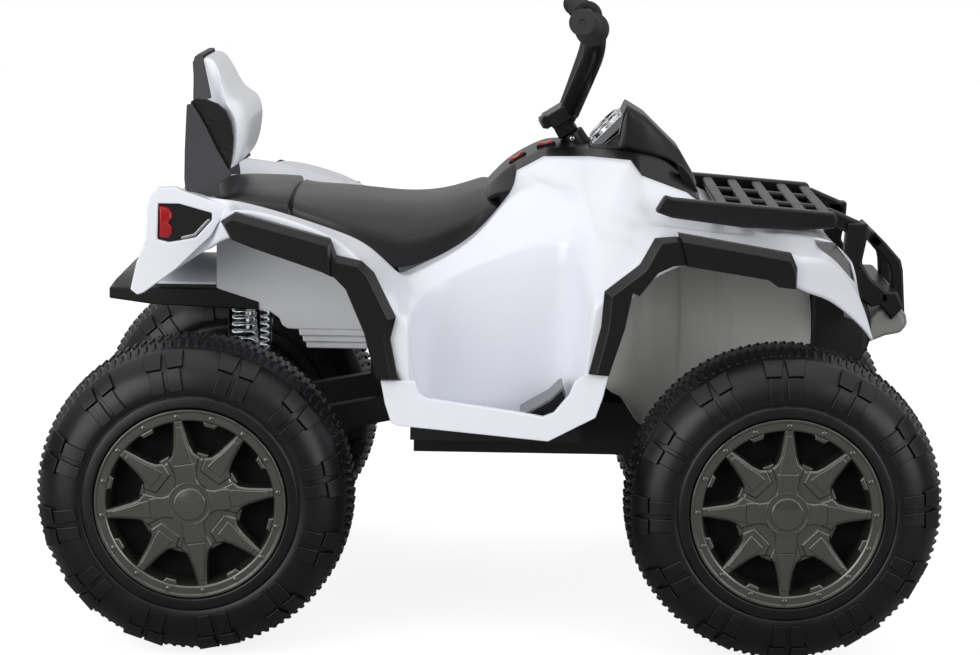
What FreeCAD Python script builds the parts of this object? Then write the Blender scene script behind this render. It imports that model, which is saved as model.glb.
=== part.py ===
import FreeCAD, Part
import math
import os
import re
import Sketcher

# A battery quad bike for a child, in millimetres.
# The origin is on the ground midway between the axles, +X is forward, +Y is the rider's left, +Z is up.

Vec = FreeCAD.Vector

SIZES = {
    # Wheels and axles
    "wheelbase": 667,
    "track": 522,
    "wheel_radius": 181,
    "tyre_width": 154,
    "tyre_wall": 4,
    "tread_width": 44,
    "shoulder_drop": 9,
    "sidewall_share": 0.533,
    "lug_count": 12,
    "lug_width": 24,
    "lug_height": 5,
    "rim_radius": 108,
    "rim_recess": 10,
    "rim_lip": 6,
    "spoke_count": 8,
    "window_inner": 46,
    "window_outer": 90,
    "window_inner_width": 18,
    "window_outer_width": 52,
    "cap_radius": 22,
    "hub_radius": 17,
    "axle_radius": 6,
    "shaft_gap": 0.05,
    "nut_radius": 10,
    "nut_length": 7,
    "nut_room": 3,
    "cap_rise": 2.5,
    # Steering
    "steering_tilt": 32,
    "column_x": 92,
    "column_z": 569,
    "column_radius": 6,
    "crank_length": 36,
    "crank_lift": 41,
    "crank_radius": 4,
    "crank_ball": 6,
    "tie_thickness": 5,
    "knuckle_arm": 42,
    "kingpin_inset": 22,
    "kingpin_radius": 5,
    "kingpin_boss": 9.5,
    "kingpin_head": 4,
    "fork_ear": 12,
    "fork_wall": 6,
    "tie_edge": 4,
    "tie_drop": 2,
    "link_pin": 4,
    "link_gap": 0.5,
    "link_reach": 3,
    "bar_radius": 11,
    "grip_radius": 14,
    "grip_flange": 20,
    # Rear suspension
    "pivot_x": -112,
    "pivot_z": 250,
    "arm_offset": 2,
    "arm_width": 20,
    "arm_boss": 15,
    "arm_tail": 40,
    "arm_below": 31,
    "arm_above": 20,
    "seat_depth": 12,
    "spring_x": -297,
    "spring_inset": 10,
    "spring_top": 366,
    "spring_seat": 233,
    "spring_radius": 14,
    "spring_wire": 3,
    "spring_turns": 16,
    "spring_peg": 10,
    "sleeve_length": 96,
    "sleeve_radius": 19,
    "sleeve_wall": 1.2,
    "gearbox_gap": 14,
    "gearbox_radius": 46,
    "gearbox_wall": 8,
    "gearbox_web": 60,
    "motor_radius": 19,
    "motor_length": 60,
    "motor_ahead": 84,
    "motor_drop": 9,
    # Body
    "fender_half": 286,
    "shell_wall": 3,
    "flare_thickness": 13,
    "flare_block": 7,
    "flare_chamfer": 3,
    "seat_wall": 4,
    "console_half": 101,
    "console_wall": 3,
    "seam": 0.3,
    "tub_half": 114,
    "tub_wall": 4,
    "tub_floor": 200,
    "tub_rim": 262,
    "pan_half": 205,
    "pan_depth": 16,
    "beam_below": 21,
    "beam_above": 19,
    "beam_half": 16,
    "beam_step": 10,
    "rail_half": 50,
    "nose_reach": 90,
    "nose_depth": 12,
    "nose_half": 40,
    "front_foot": 20,
    "spine_width": 110,
    "board_floor": 248,
    "board_wall": 4,
    "board_in": 172,
    "board_inset": 2,
    "board_rim": 8,
    "liner_wall": 3,
    "box_half": 140,
    "box_wall": 4,
    "fin_step": 4,
    "battery_length": 151,
    "battery_width": 65,
    "battery_height": 94,
    "terminal_length": 8,
    "terminal_width": 6,
    "terminal_height": 5,
    "terminal_in": 20,
    "control_length": 100,
    "control_width": 76,
    "control_height": 34,
    "rack_half": 160,
    "rail_width": 18,
    "slat_width": 14,
    "slat_thickness": 9,
    "strut_y": 111,
    "strut_width": 22,
    "hoop_half": 68,
    "hoop_bar": 18,
    "bumper_half": 130,
    "bumper_wall": 6,
    "skid_half": 74,
    "backrest_half": 112,
    "pad_inset": 4,
    "bracket_width": 8,
    "cheek_width": 9,
    "tail_y": 231.05,
    "tail_depth": 7,
    "tail_recess": 4,
    "pedal_width": 64,
    "pedal_y": -230,
    "rocker_length": 17,
    "rocker_width": 12,
    "rocker_height": 9,
    "button_radius": 7,
    "button_length": 7,
}

# The places of the body's points are drawn at these values and follow the sheet from there.
DRAWN_AXLE_X = 333.5
DRAWN_AXLE_Z = 181
DRAWN_FENDER = 286
DRAWN_BOARD = 248
DRAWN_SEAT = 140
DRAWN_COLUMN = Vec(92, 0, 569)
MIDDLE = 100

# Sizes that follow from the ones above
FOLLOWERS = {
    "axle_shift": f"wheelbase / 2 - {DRAWN_AXLE_X}",
    "axle_lift": f"wheel_radius - {DRAWN_AXLE_Z}",
    "shoulder_low": "wheel_radius - shoulder_drop * 2.9",
    "sidewall_radius": "rim_radius + (shoulder_low - rim_radius) * sidewall_share",
    "tyre_inner": "(track - tyre_width) / 2",
    "kingpin_y": "tyre_inner - kingpin_inset",
    "arm_y": "tyre_inner / 2 + arm_offset",
    "spring_y": "arm_y - spring_inset",
    "gearbox_width": "tyre_inner - arm_y - arm_width / 2 - gearbox_gap",
    "column_at": f"column_x + axle_shift * column_x / {MIDDLE}",
    "column_high": "column_z + axle_lift",
    "pivot_at": "pivot_x - axle_shift",
    "spring_at": "spring_x - axle_shift",
}

doc = FreeCAD.newDocument("KidsQuadBike")
sheet = doc.addObject("Spreadsheet::Sheet", "Sizes")
CELLS = {alias: str(number) for alias, number in SIZES.items()}
CELLS.update({alias: "=" + formula for alias, formula in FOLLOWERS.items()})
for row, (alias, content) in enumerate(CELLS.items(), 1):
    sheet.set(f"A{row}", alias)
    sheet.set(f"B{row}", content)
    sheet.setAlias(f"B{row}", alias)
doc.recompute()
size = {alias: float(sheet.get(alias)) for alias in CELLS}
nodes = {}


# Where a drawn point goes when the wheelbase, wheel or fender changes

def middle_share(x):
    """The share of a front axle's shift that a point at x takes."""
    return max(-1.0, min(1.0, x / MIDDLE))


def along(x):
    return f"{x:g} + {middle_share(x):g} * axle_shift"


def up(z):
    return f"wheel_radius + {z - DRAWN_AXLE_Z:g}"


def at(x, y, z):
    """A drawn body point, moved with the axles and the fenders."""
    spread = max(0.0, (abs(y) - DRAWN_SEAT) / (DRAWN_FENDER - DRAWN_SEAT))
    shift = math.copysign(spread * (size["fender_half"] - DRAWN_FENDER), y) if y else 0
    return Vec(x + middle_share(x) * size["axle_shift"], y + shift, z + size["axle_lift"])


# Features bound to the sheet

def bound(text):
    """An expression with each size's name turned into its cell."""
    return re.sub(r"[a-z][a-z_]+", lambda word: "Sizes." + word.group() if word.group() in CELLS
                  else word.group(), str(text))


def bind(thing, **formulas):
    for name, text in formulas.items():
        thing.setExpression(name.replace("__", "."), bound(text))


def node(name, thing):
    """Keeps an object as the sub-part with this name."""
    thing.Label = name
    nodes[name] = thing
    return thing


def block(name, x, y, z):
    """A box from (start, length) formulas along each axis."""
    box = doc.addObject("Part::Box", name)
    bind(box, Length=x[1], Width=y[1], Height=z[1])
    bind(box, Placement__Base__x=x[0], Placement__Base__y=y[0], Placement__Base__z=z[0])
    return box


TURNS = {
    "x": FreeCAD.Rotation(Vec(0, 1, 0), 90),
    "y": FreeCAD.Rotation(Vec(1, 0, 0), -90),
    "z": FreeCAD.Rotation(),
}


def rod(name, axis, radius, length, start):
    """A cylinder along an axis, from the formulas of its start point."""
    cylinder = doc.addObject("Part::Cylinder", name)
    cylinder.Placement = FreeCAD.Placement(Vec(), TURNS[axis])
    bind(cylinder, Radius=radius, Height=length)
    bind(cylinder, Placement__Base__x=start[0], Placement__Base__y=start[1], Placement__Base__z=start[2])
    return cylinder


def joined(name, *things):
    fuse = doc.addObject("Part::MultiFuse", name)
    fuse.Shapes = list(things)
    return fuse


def cut(name, base, *tools):
    result = doc.addObject("Part::Cut", name)
    result.Base = base
    result.Tool = tools[0] if len(tools) == 1 else joined(name + "_tools", *tools)
    return result


def group(name, *things):
    compound = doc.addObject("Part::Compound", name)
    compound.Links = list(things)
    return compound


def mirrored(name, thing):
    """The same piece on the other side of the bike."""
    mirror = doc.addObject("Part::Mirroring", name)
    mirror.Source = thing
    mirror.Normal = Vec(0, 1, 0)
    return mirror


def pair(name, right):
    """One node with a right-hand piece and its mirror image."""
    return node(name, group(name, right, mirrored(name + "_left", right)))


def new_body(name):
    return doc.addObject("PartDesign::Body", name + "_body")


def outline(body, plane, points, offset="0"):
    """A closed sketch of straight lines on one of the body's planes, each corner bound to its formulas."""
    sketch = body.newObject("Sketcher::SketchObject", body.Name + "_outline")
    origin = [part for part in body.Origin.OriginFeatures if part.Role == plane + "_Plane"][0]
    sketch.AttachmentSupport = [(origin, "")]
    sketch.MapMode = "FlatFace"
    bind(sketch, AttachmentOffset__Base__z=offset)
    count = len(points)
    corners = [Vec(math.cos(math.tau * i / count), math.sin(math.tau * i / count), 0) for i in range(count)]
    for i in range(count):
        sketch.addGeometry(Part.LineSegment(corners[i], corners[(i + 1) % count]), False)
    for i in range(count):
        sketch.addConstraint(Sketcher.Constraint("Coincident", i, 2, (i + 1) % count, 1))
    for i, formulas in enumerate(points):
        for kind, start, text in zip(("DistanceX", "DistanceY"), corners[i], formulas):
            number = sketch.addConstraint(Sketcher.Constraint(kind, -1, 1, i, 1, start))
            sketch.setExpression(f"Constraints[{number}]", bound(text))
    return sketch


def pad(body, sketch, length, both=False, back=False):
    """A pad of a sketch, on both sides of its plane or to one side."""
    feature = body.newObject("PartDesign::Pad", body.Name + "_pad")
    feature.Profile = sketch
    feature.SideType = "Symmetric" if both else "One side"
    feature.Reversed = back
    bind(feature, Length=length)
    return feature


def pocket(body, sketch, length, both=False, back=False):
    feature = body.newObject("PartDesign::Pocket", body.Name + "_pocket")
    feature.Profile = sketch
    feature.SideType = "Symmetric" if both else "One side"
    feature.Reversed = back
    bind(feature, Length=length)
    return feature


def side_points(points):
    """Side-view corners as formulas."""
    return [(along(x), up(z)) for x, z in points]


# Thin shells and solids through drawn stations

def solid_of(points, triangles):
    mesh_shape = Part.Shape()
    mesh_shape.makeShapeFromMesh((points, triangles), 0.001)
    solid = Part.makeSolid(mesh_shape)
    if solid.Volume < 0:
        solid.reverse()
    return solid.removeSplitter()


def plate(rows, wall, open_cells=()):
    """A moulded sheet of one wall through a grid of points, with some of its cells left open."""
    high, wide = len(rows), len(rows[0])
    cells = [(i, j) for i in range(high - 1) for j in range(wide - 1) if (i, j) not in open_cells]
    normals = [[Vec() for _ in row] for row in rows]
    for i, j in cells:
        slope = (rows[i + 1][j] - rows[i][j + 1]).cross(rows[i + 1][j + 1] - rows[i][j])
        for a, b in ((i, j), (i + 1, j), (i, j + 1), (i + 1, j + 1)):
            normals[a][b] += slope / slope.Length
    number = {}
    points = []

    def corner(i, j, layer):
        key = (i, j, layer)
        if key not in number:
            number[key] = len(points)
            normal = normals[i][j] / normals[i][j].Length
            points.append(rows[i][j] - normal * wall * layer)
        return number[key]

    triangles = []
    edges = {}
    for i, j in cells:
        ring = [(i, j), (i + 1, j), (i + 1, j + 1), (i, j + 1)]
        outer = [corner(a, b, 0) for a, b in ring]
        inner = [corner(a, b, 1) for a, b in ring]
        triangles += [(outer[0], outer[1], outer[2]), (outer[0], outer[2], outer[3])]
        triangles += [(inner[0], inner[2], inner[1]), (inner[0], inner[3], inner[2])]
        for k in range(4):
            edge = (ring[k], ring[(k + 1) % 4])
            if edge[::-1] in edges:
                del edges[edge[::-1]]
            else:
                edges[edge] = True
    for start, end in edges:
        first, second = corner(*start, 0), corner(*end, 0)
        third, fourth = corner(*end, 1), corner(*start, 1)
        triangles += [(first, third, second), (first, fourth, third)]
    return solid_of(points, triangles)


def both_sides(half_row):
    """A row of points from the right edge across to the left edge, from its right half."""
    return half_row + [Vec(p.x, -p.y, p.z) for p in reversed(half_row)]


def feature(name, shape):
    thing = doc.addObject("Part::Feature", name + "_solid")
    thing.Shape = shape
    thing.Placement = shape.Placement
    return thing


def bent_path(points, radius):
    """Straight runs joined by tangent arcs of one radius."""
    edges = []
    start = points[0]
    for before, middle, after in zip(points, points[1:], points[2:]):
        arrive = (middle - before).normalize()
        leave = (after - middle).normalize()
        turn = arrive.getAngle(leave)
        setback = radius * math.tan(turn / 2)
        first = middle - arrive * setback
        last = middle + leave * setback
        inward = (leave - arrive).normalize()
        bulge = middle + inward * radius * (1 / math.cos(turn / 2) - 1)
        edges += [Part.LineSegment(start, first).toShape(), Part.Arc(first, bulge, last).toShape()]
        start = last
    edges.append(Part.LineSegment(start, points[-1]).toShape())
    return Part.Wire(edges)


def tube(path, radius):
    start = path.OrderedEdges[0]
    direction = start.tangentAt(start.FirstParameter)
    ring = Part.Wire(Part.makeCircle(radius, path.OrderedVertexes[0].Point, direction))
    return path.makePipeShell([ring], True, False)


# Shared places
FRONT = "wheelbase / 2"
REAR = "-wheelbase / 2"
AXLE = "wheel_radius"
RIGHT = "-track / 2"
HALF_TYRE = "tyre_width / 2"
SHOULDER_OUT = "tyre_width * 0.43"
SHOULDER_IN = "tyre_width * 0.31"
SHOULDER_LOW = "shoulder_low"
SHOULDER_HIGH = "wheel_radius - shoulder_drop"
FACE = "(tyre_width / 2 - rim_recess)"
BORE = "axle_radius + shaft_gap"


# Wheels: a hollow moulded tyre and wheel in one, with a spoked cover on its face

def tyre_profile():
    """Half section as (distance out from the middle, radius)."""
    inner = "tyre_wall"
    outside = [
        (f"-({HALF_TYRE})", "rim_radius * 0.6"),
        (f"-({HALF_TYRE})", "sidewall_radius"),
        (f"-({SHOULDER_OUT})", SHOULDER_LOW),
        (f"-({SHOULDER_IN})", SHOULDER_HIGH),
        ("-tread_width / 2", "wheel_radius"),
        ("tread_width / 2", "wheel_radius"),
        (SHOULDER_IN, SHOULDER_HIGH),
        (SHOULDER_OUT, SHOULDER_LOW),
        (HALF_TYRE, "sidewall_radius"),
        (HALF_TYRE, "rim_radius"),
        (FACE, "rim_radius"),
        (FACE, BORE),
        (f"-({HALF_TYRE})", BORE),
        (f"-({HALF_TYRE})", "hub_radius"),
        (f"{FACE} - {inner}", "hub_radius"),
        (f"{FACE} - {inner}", f"rim_radius + {inner}"),
        (f"{HALF_TYRE} - {inner}", f"rim_radius + {inner}"),
        (f"{HALF_TYRE} - {inner}", f"sidewall_radius - {inner} / 2"),
        (f"{SHOULDER_OUT} - {inner} * 0.8", f"{SHOULDER_LOW} - {inner} * 0.6"),
        (f"{SHOULDER_IN} - {inner} / 2", f"{SHOULDER_HIGH} - {inner}"),
        (f"tread_width / 2 - {inner} / 4", f"wheel_radius - {inner}"),
        (f"-(tread_width / 2 - {inner} / 4)", f"wheel_radius - {inner}"),
        (f"-({SHOULDER_IN} - {inner} / 2)", f"{SHOULDER_HIGH} - {inner}"),
        (f"-({SHOULDER_OUT} - {inner} * 0.8)", f"{SHOULDER_LOW} - {inner} * 0.6"),
        (f"-({HALF_TYRE} - {inner})", f"sidewall_radius - {inner} / 2"),
        (f"-({HALF_TYRE} - {inner})", "rim_radius * 0.6"),
    ]
    return [(f"-({out})", radius) for out, radius in outside]


def revolve(body, sketch):
    """A full turn about the body's Y axis."""
    turn = body.newObject("PartDesign::Revolution", body.Name + "_turn")
    turn.Profile = sketch
    turn.ReferenceAxis = (sketch, ["H_Axis"])
    turn.Angle = 360
    return turn


def ring_pattern(body, features, count):
    axis = [part for part in body.Origin.OriginFeatures if part.Role == "Y_Axis"][0]
    pattern = body.newObject("PartDesign::PolarPattern", body.Name + "_ring")
    pattern.Originals = features
    pattern.Axis = (axis, [""])
    pattern.Angle = 360
    bind(pattern, Occurrences=count)
    body.Tip = pattern
    return pattern


tyre = new_body("tyre")
revolve(tyre, outline(tyre, "YZ", tyre_profile()))
LUG_FOOT = "tyre_wall / 2"
lug_sides = []
for side in ("-", ""):
    lug = [
        (f"{side}({HALF_TYRE} + lug_height / 2)", "sidewall_radius + lug_height"),
        (f"{side}({SHOULDER_OUT} + lug_height)", f"{SHOULDER_LOW} + lug_height"),
        (f"{side}({SHOULDER_IN} + lug_height)", f"{SHOULDER_HIGH} + lug_height"),
        (f"{side}({SHOULDER_IN} - {LUG_FOOT})", f"{SHOULDER_HIGH} - {LUG_FOOT}"),
        (f"{side}({SHOULDER_OUT} - {LUG_FOOT})", f"{SHOULDER_LOW} - {LUG_FOOT}"),
        (f"{side}({HALF_TYRE} - {LUG_FOOT})", "sidewall_radius"),
    ]
    lug_sides.append(pad(tyre, outline(tyre, "YZ", lug), "lug_width", both=True))
ring_pattern(tyre, lug_sides, "lug_count")

rim = new_body("rim")
RIM_BACK = f"({FACE} + seam)"
RIM_FRONT = HALF_TYRE
POCKET_DEPTH = f"{FACE} + nut_length + 3 * seam"
rim_profile = [
    (RIM_BACK, "nut_radius + nut_room"),
    (RIM_BACK, "rim_radius - seam"),
    (RIM_FRONT, "rim_radius - seam"),
    (RIM_FRONT, "rim_radius - rim_lip"),
    (f"{FACE} + rim_recess / 2", "rim_radius - rim_lip * 2"),
    (f"{FACE} + rim_recess / 2", "cap_radius * 1.8"),
    (f"{FACE} + rim_recess", "cap_radius * 1.3"),
    (f"{HALF_TYRE} + cap_rise", "cap_radius"),
    (f"{HALF_TYRE} + cap_rise", "0"),
    (POCKET_DEPTH, "0"),
    (POCKET_DEPTH, "nut_radius + nut_room"),
]
revolve(rim, outline(rim, "YZ", [(f"-({out})", radius) for out, radius in rim_profile]))
window = [
    ("-window_inner_width / 2", "window_inner"),
    ("window_inner_width / 2", "window_inner"),
    ("window_outer_width / 2", "window_outer"),
    ("-window_outer_width / 2", "window_outer"),
]
opening = pocket(rim, outline(rim, "XZ", window), "tyre_width", both=True)
ring_pattern(rim, [opening], "spoke_count")

half_spoke = FreeCAD.Rotation(Vec(0, 1, 0), 180 / size["spoke_count"])
for end, centre in (("rear", REAR), ("front", FRONT)):
    for piece, body in (("tyre", tyre), ("rim", rim)):
        name = f"{piece}_{end}"
        right = group(name + "_right", body)
        right.Placement = FreeCAD.Placement(Vec(), half_spoke if piece == "rim" else FreeCAD.Rotation())
        bind(right, Placement__Base__x=centre, Placement__Base__y=RIGHT, Placement__Base__z=AXLE)
        node(name + "_right", right)
        node(name + "_left", mirrored(name + "_left", right))

AXLE_END = f"(track / 2 + {FACE} + nut_length)"
node("rear_axle", rod("rear_axle", "y", "axle_radius", f"2 * {AXLE_END}", (REAR, f"-{AXLE_END}", AXLE)))


def axle_nut(name, centre):
    disc = rod(name + "_disc", "y", "nut_radius", "nut_length - seam", (centre, f"-{AXLE_END}", AXLE))
    hole = rod(name + "_hole", "y", "axle_radius", "nut_length", (centre, f"-{AXLE_END}", AXLE))
    return cut(name, disc, hole)


pair("rear_axle_nuts", axle_nut("rear_nut", REAR))

# Front knuckles: a fork round the chassis boss, a stub axle and a steering arm
BEAM_LOW = "(wheel_radius - beam_below)"
BEAM_HIGH = "(wheel_radius + beam_above)"
ARM_HIGH = f"({BEAM_HIGH} + seam + fork_ear)"
BAR_LOW = f"({ARM_HIGH} - fork_ear - tie_drop)"
LINK_X = f"({FRONT} - knuckle_arm)"
KING_Y = "-kingpin_y"
FORK_OUT = "-(tyre_inner - lug_height)"


def knuckle():
    depth = "(tyre_inner - lug_height - kingpin_y + kingpin_boss)"
    ears = []
    for tag, low in (("low", f"{BEAM_LOW} - seam - fork_ear"), ("high", f"{BEAM_HIGH} + seam")):
        ears.append(block(f"ear_{tag}", (f"{FRONT} - kingpin_boss", "2 * kingpin_boss"),
                          (FORK_OUT, depth), (low, "fork_ear")))
    wall = block("fork_wall", (f"{FRONT} - kingpin_boss", "2 * kingpin_boss"), (FORK_OUT, "fork_wall"),
                 (f"{BEAM_LOW} - seam - fork_ear", f"{BEAM_HIGH} - {BEAM_LOW} + 2 * seam + 2 * fork_ear"))
    stub = rod("stub_axle", "y", "axle_radius", f"{AXLE_END} + {FORK_OUT} + fork_wall / 2",
               (FRONT, f"-{AXLE_END}", AXLE))
    arm = block("steering_arm", (f"{LINK_X} - 2 * link_pin", "knuckle_arm"),
                (f"{KING_Y} - 2 * link_pin", "4 * link_pin"), (f"{ARM_HIGH} - fork_ear / 2", "fork_ear / 2"))
    pin = rod("arm_pin", "z", "link_pin", "fork_ear + tie_drop", (LINK_X, KING_Y, BAR_LOW))
    bore = rod("kingpin_bore", "z", "kingpin_radius + shaft_gap", BEAM_HIGH,
               (FRONT, KING_Y, f"{BEAM_LOW} / 2"))
    return cut("knuckle", joined("knuckle_solid", *ears, wall, stub, arm, pin), bore)


node("knuckle_right", knuckle())
node("knuckle_left", mirrored("knuckle_left", nodes["knuckle_right"]))
node("front_nut_right", axle_nut("front_nut", FRONT))
node("front_nut_left", mirrored("front_nut_left", nodes["front_nut_right"]))
kingpin = joined(
    "kingpin",
    rod("kingpin_shank", "z", "kingpin_radius", f"{BEAM_HIGH} - {BEAM_LOW} + 2 * fork_ear + 2 * seam",
        (FRONT, KING_Y, f"{BEAM_LOW} - seam - fork_ear")),
    rod("kingpin_head", "z", "kingpin_boss - seam", "kingpin_head", (FRONT, KING_Y, f"{ARM_HIGH} + seam")),
    rod("kingpin_neck", "z", "kingpin_radius", "kingpin_head", (FRONT, KING_Y, ARM_HIGH)),
)
pair("kingpins", kingpin)

# The tie bar runs behind the axle, slotted round the knuckle pins and the crank ball
SLOT_X = "(link_pin + link_reach)"
bar = block("tie_bar_strip", (f"{LINK_X} - {SLOT_X} - tie_edge", f"2 * ({SLOT_X} + tie_edge)"),
            ("-kingpin_y - 2 * link_pin", "2 * kingpin_y + 4 * link_pin"), (BAR_LOW, "tie_thickness"))
CRANK_ROOT = "column_at + (column_high - wheel_radius - crank_lift) * tan(steering_tilt)"
CRANK_X = f"({CRANK_ROOT} - crank_length * cos(steering_tilt))"
BALL_SIDE = "(crank_ball + tie_edge + link_reach)"
SLOT_DEPTH = (f"{BAR_LOW} - tie_thickness", "3 * tie_thickness")
fork = block("tie_bar_fork", (f"{CRANK_X} - {BALL_SIDE}", f"{LINK_X} - {CRANK_X} + {BALL_SIDE}"),
             (f"-{BALL_SIDE}", f"2 * {BALL_SIDE}"), (BAR_LOW, "tie_thickness"))
ball_slot = block("ball_slot", (f"{CRANK_X} - crank_ball - link_reach", "2 * (crank_ball + link_reach)"),
                  ("-(crank_ball + link_gap)", "2 * (crank_ball + link_gap)"), SLOT_DEPTH)
pin_slots = []
for tag, middle in (("right", "-kingpin_y"), ("left", "kingpin_y")):
    pin_slots.append(block(f"pin_slot_{tag}", (f"{LINK_X} - {SLOT_X}", f"2 * {SLOT_X}"),
                           (f"{middle} - link_pin - link_gap", "2 * (link_pin + link_gap)"),
                           SLOT_DEPTH))
node("tie_bar", cut("tie_bar", joined("tie_bar_solid", bar, fork), ball_slot, *pin_slots))


# Steering column, crank and handlebar
tilt = math.radians(size["steering_tilt"])
column_up = Vec(-math.sin(tilt), 0, math.cos(tilt))
crank_back = Vec(-math.cos(tilt), 0, -math.sin(tilt))
column_top = Vec(size["column_at"], 0, size["column_high"])
YOKE_RISE = 38
crank_root_z = size["wheel_radius"] + size["crank_lift"]
crank_root = column_top - column_up * ((column_top.z - crank_root_z) / math.cos(tilt))
beam_high = size["wheel_radius"] + size["beam_above"]
BUSH_DEPTH = 22
column_foot = column_top - column_up * ((column_top.z - beam_high) / math.cos(tilt) + BUSH_DEPTH)


def long_rod(start, end, radius):
    return Part.makeCylinder(radius, (end - start).Length, start, end - start)


def steering_column():
    shaft = long_rod(column_foot, column_top + column_up * YOKE_RISE, size["column_radius"])
    crank_tip = crank_root + crank_back * size["crank_length"]
    crank = long_rod(crank_root, crank_tip, size["crank_radius"])
    ball = Part.makeSphere(size["crank_ball"], crank_tip)
    return shaft.fuse([crank, ball])


node("steering_column", feature("steering_column", steering_column()))

GRIP_IN = Vec(112, -130, 704)
GRIP_OUT = Vec(97, -234, 720)
ARM_FOOT = Vec(86, -24, 597)
ARM_TOP = Vec(113, -84, 672)
# Ahead of the column's line and along it from its top: yoke, button box and stem
YOKE = ((-14, 20), (22, 40))
YOKE_HALF = 40
BUTTON_BOX = ((-22, -13), (25, 41))
BUTTON_HALF = 30
STEM = ((-14, 9), (5.5, 23))
STEM_HALF = 16
BUTTON_Y = 15
BUTTON_ALONG = 33
BEND = 1.6
OVERLAP = 1


def from_column(point):
    """A drawn handlebar point, moved with the top of the steering column."""
    return point + column_top - DRAWN_COLUMN


def on_column(shape):
    """A shape that is drawn upright, leaned back with the steering column."""
    shape.Placement = FreeCAD.Placement(column_top, FreeCAD.Rotation(Vec(0, 1, 0), -size["steering_tilt"]))
    return shape


def column_block(spans, half):
    (rear, front), (low, high) = spans
    return on_column(Part.makeBox(front - rear, 2 * half, high - low, Vec(rear, -half, low)))


def column_button(side, back, radius, long):
    """A round form across the column's line, from behind the face of the button box."""
    middle = Vec(BUTTON_BOX[0][0] - back, side * BUTTON_Y, BUTTON_ALONG)
    return on_column(Part.makeCylinder(radius, long, middle, Vec(1, 0, 0)))


def handlebar():
    path = [from_column(point) for point in (GRIP_OUT, GRIP_IN, ARM_TOP, ARM_FOOT)]
    right_bar = tube(bent_path(path, size["bar_radius"] * BEND), size["bar_radius"])
    left_bar = right_bar.mirror(Vec(), Vec(0, 1, 0))
    yoke = column_block(YOKE, YOKE_HALF)
    button_box = column_block(BUTTON_BOX, BUTTON_HALF)
    stem = column_block(STEM, STEM_HALF)
    shape = yoke.fuse([button_box, stem, right_bar, left_bar])
    shape = shape.cut(long_rod(column_foot, column_top + column_up * YOKE_RISE, size["column_radius"]))
    for side in (-1, 1):
        radius = size["button_radius"] + size["seam"]
        shape = shape.cut(column_button(side, OVERLAP, radius, size["button_length"] + OVERLAP))
    return shape


node("handlebar", feature("handlebar", handlebar()))


GRIP_START = 14
GRIP_CAP = 4
FLANGE = 5


def grips():
    solids = []
    for side in (1, -1):
        inner = from_column(Vec(GRIP_IN.x, side * GRIP_IN.y, GRIP_IN.z))
        outer = from_column(Vec(GRIP_OUT.x, side * GRIP_OUT.y, GRIP_OUT.z))
        along_grip = (outer - inner).normalize()
        root = inner + along_grip * GRIP_START
        end = outer + along_grip * GRIP_CAP
        flange = long_rod(root, root + along_grip * FLANGE, size["grip_flange"])
        sleeve = long_rod(root, end, size["grip_radius"])
        bore = long_rod(root - along_grip, outer, size["bar_radius"])
        solids.append(sleeve.fuse(flange).cut(bore))
    return Part.makeCompound(solids)


node("grips", feature("grips", grips()))

BUTTON_PROUD = 3
for name, side in (("horn_button", -1), ("music_button", 1)):
    button = column_button(side, BUTTON_PROUD, size["button_radius"], size["button_length"])
    node(name, feature(name, button))

# Chassis tub, pan, front beam and the lugs of the rear pivot
TUB_REAR = along(-92)
TUB_FRONT = along(255)
chassis = new_body("chassis_frame")


def plan_box(rear, front, half):
    """The corners of a rectangle seen from above, the same on both sides."""
    return [(rear, f"-({half})"), (front, f"-({half})"), (front, half), (rear, half)]


tub_plan = plan_box(TUB_REAR, TUB_FRONT, "tub_half")
tub_lift = "tub_floor + axle_lift"
pad(chassis, outline(chassis, "XY", tub_plan, tub_lift), "tub_rim - tub_floor")
PAN_REAR = along(-93)
PAN_FRONT = along(104)
pan_plan = plan_box(PAN_REAR, PAN_FRONT, "pan_half")
board_lift = "board_floor + axle_lift"
pad(chassis, outline(chassis, "XY", pan_plan, board_lift), "pan_depth", back=True)
tub_inside = plan_box(f"{TUB_REAR} + tub_wall", f"{TUB_FRONT} - tub_wall", "tub_half - tub_wall")
pocket(chassis, outline(chassis, "XY", tub_inside, f"{tub_lift} + tub_rim - tub_floor"),
       "tub_rim - tub_floor - tub_wall")
for sign in ("-", ""):
    pan_inside = [
        (f"{PAN_REAR} + tub_wall", f"{sign}(tub_half + tub_wall)"),
        (f"{PAN_FRONT} - tub_wall", f"{sign}(tub_half + tub_wall)"),
        (f"{PAN_FRONT} - tub_wall", f"{sign}(pan_half - tub_wall)"),
        (f"{PAN_REAR} + tub_wall", f"{sign}(pan_half - tub_wall)"),
    ]
    pocket(chassis, outline(chassis, "XY", pan_inside, board_lift), "pan_depth - tub_wall")
KING_REACH = "kingpin_y - kingpin_boss / 2"
BEAM_REAR = f"{FRONT} - beam_half"
BEAM_FRONT = f"{FRONT} + beam_half"
NOSE = f"{FRONT} + nose_reach"
FOOT = f"{TUB_FRONT} - front_foot"
BEAM_THICK = f"({BEAM_HIGH} - {BEAM_LOW})"
NOSE_TOP = up(345)
FRONT_BLOCKS = [
    (plan_box(FOOT, NOSE, "rail_half"), f"{BEAM_THICK} - beam_step"),
    (plan_box(FOOT, TUB_FRONT, "rail_half"), f"{tub_lift} - {BEAM_LOW} + tub_wall"),
    (plan_box(BEAM_REAR, BEAM_FRONT, KING_REACH), BEAM_THICK),
    (plan_box(f"{NOSE} - nose_depth", NOSE, "nose_half"), f"{NOSE_TOP} - {BEAM_LOW}"),
]
for front_plan, height in FRONT_BLOCKS:
    pad(chassis, outline(chassis, "XY", front_plan, BEAM_LOW), height)
PIVOT_Z = "(pivot_z + axle_lift)"
SPINE_LOW = 268
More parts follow.
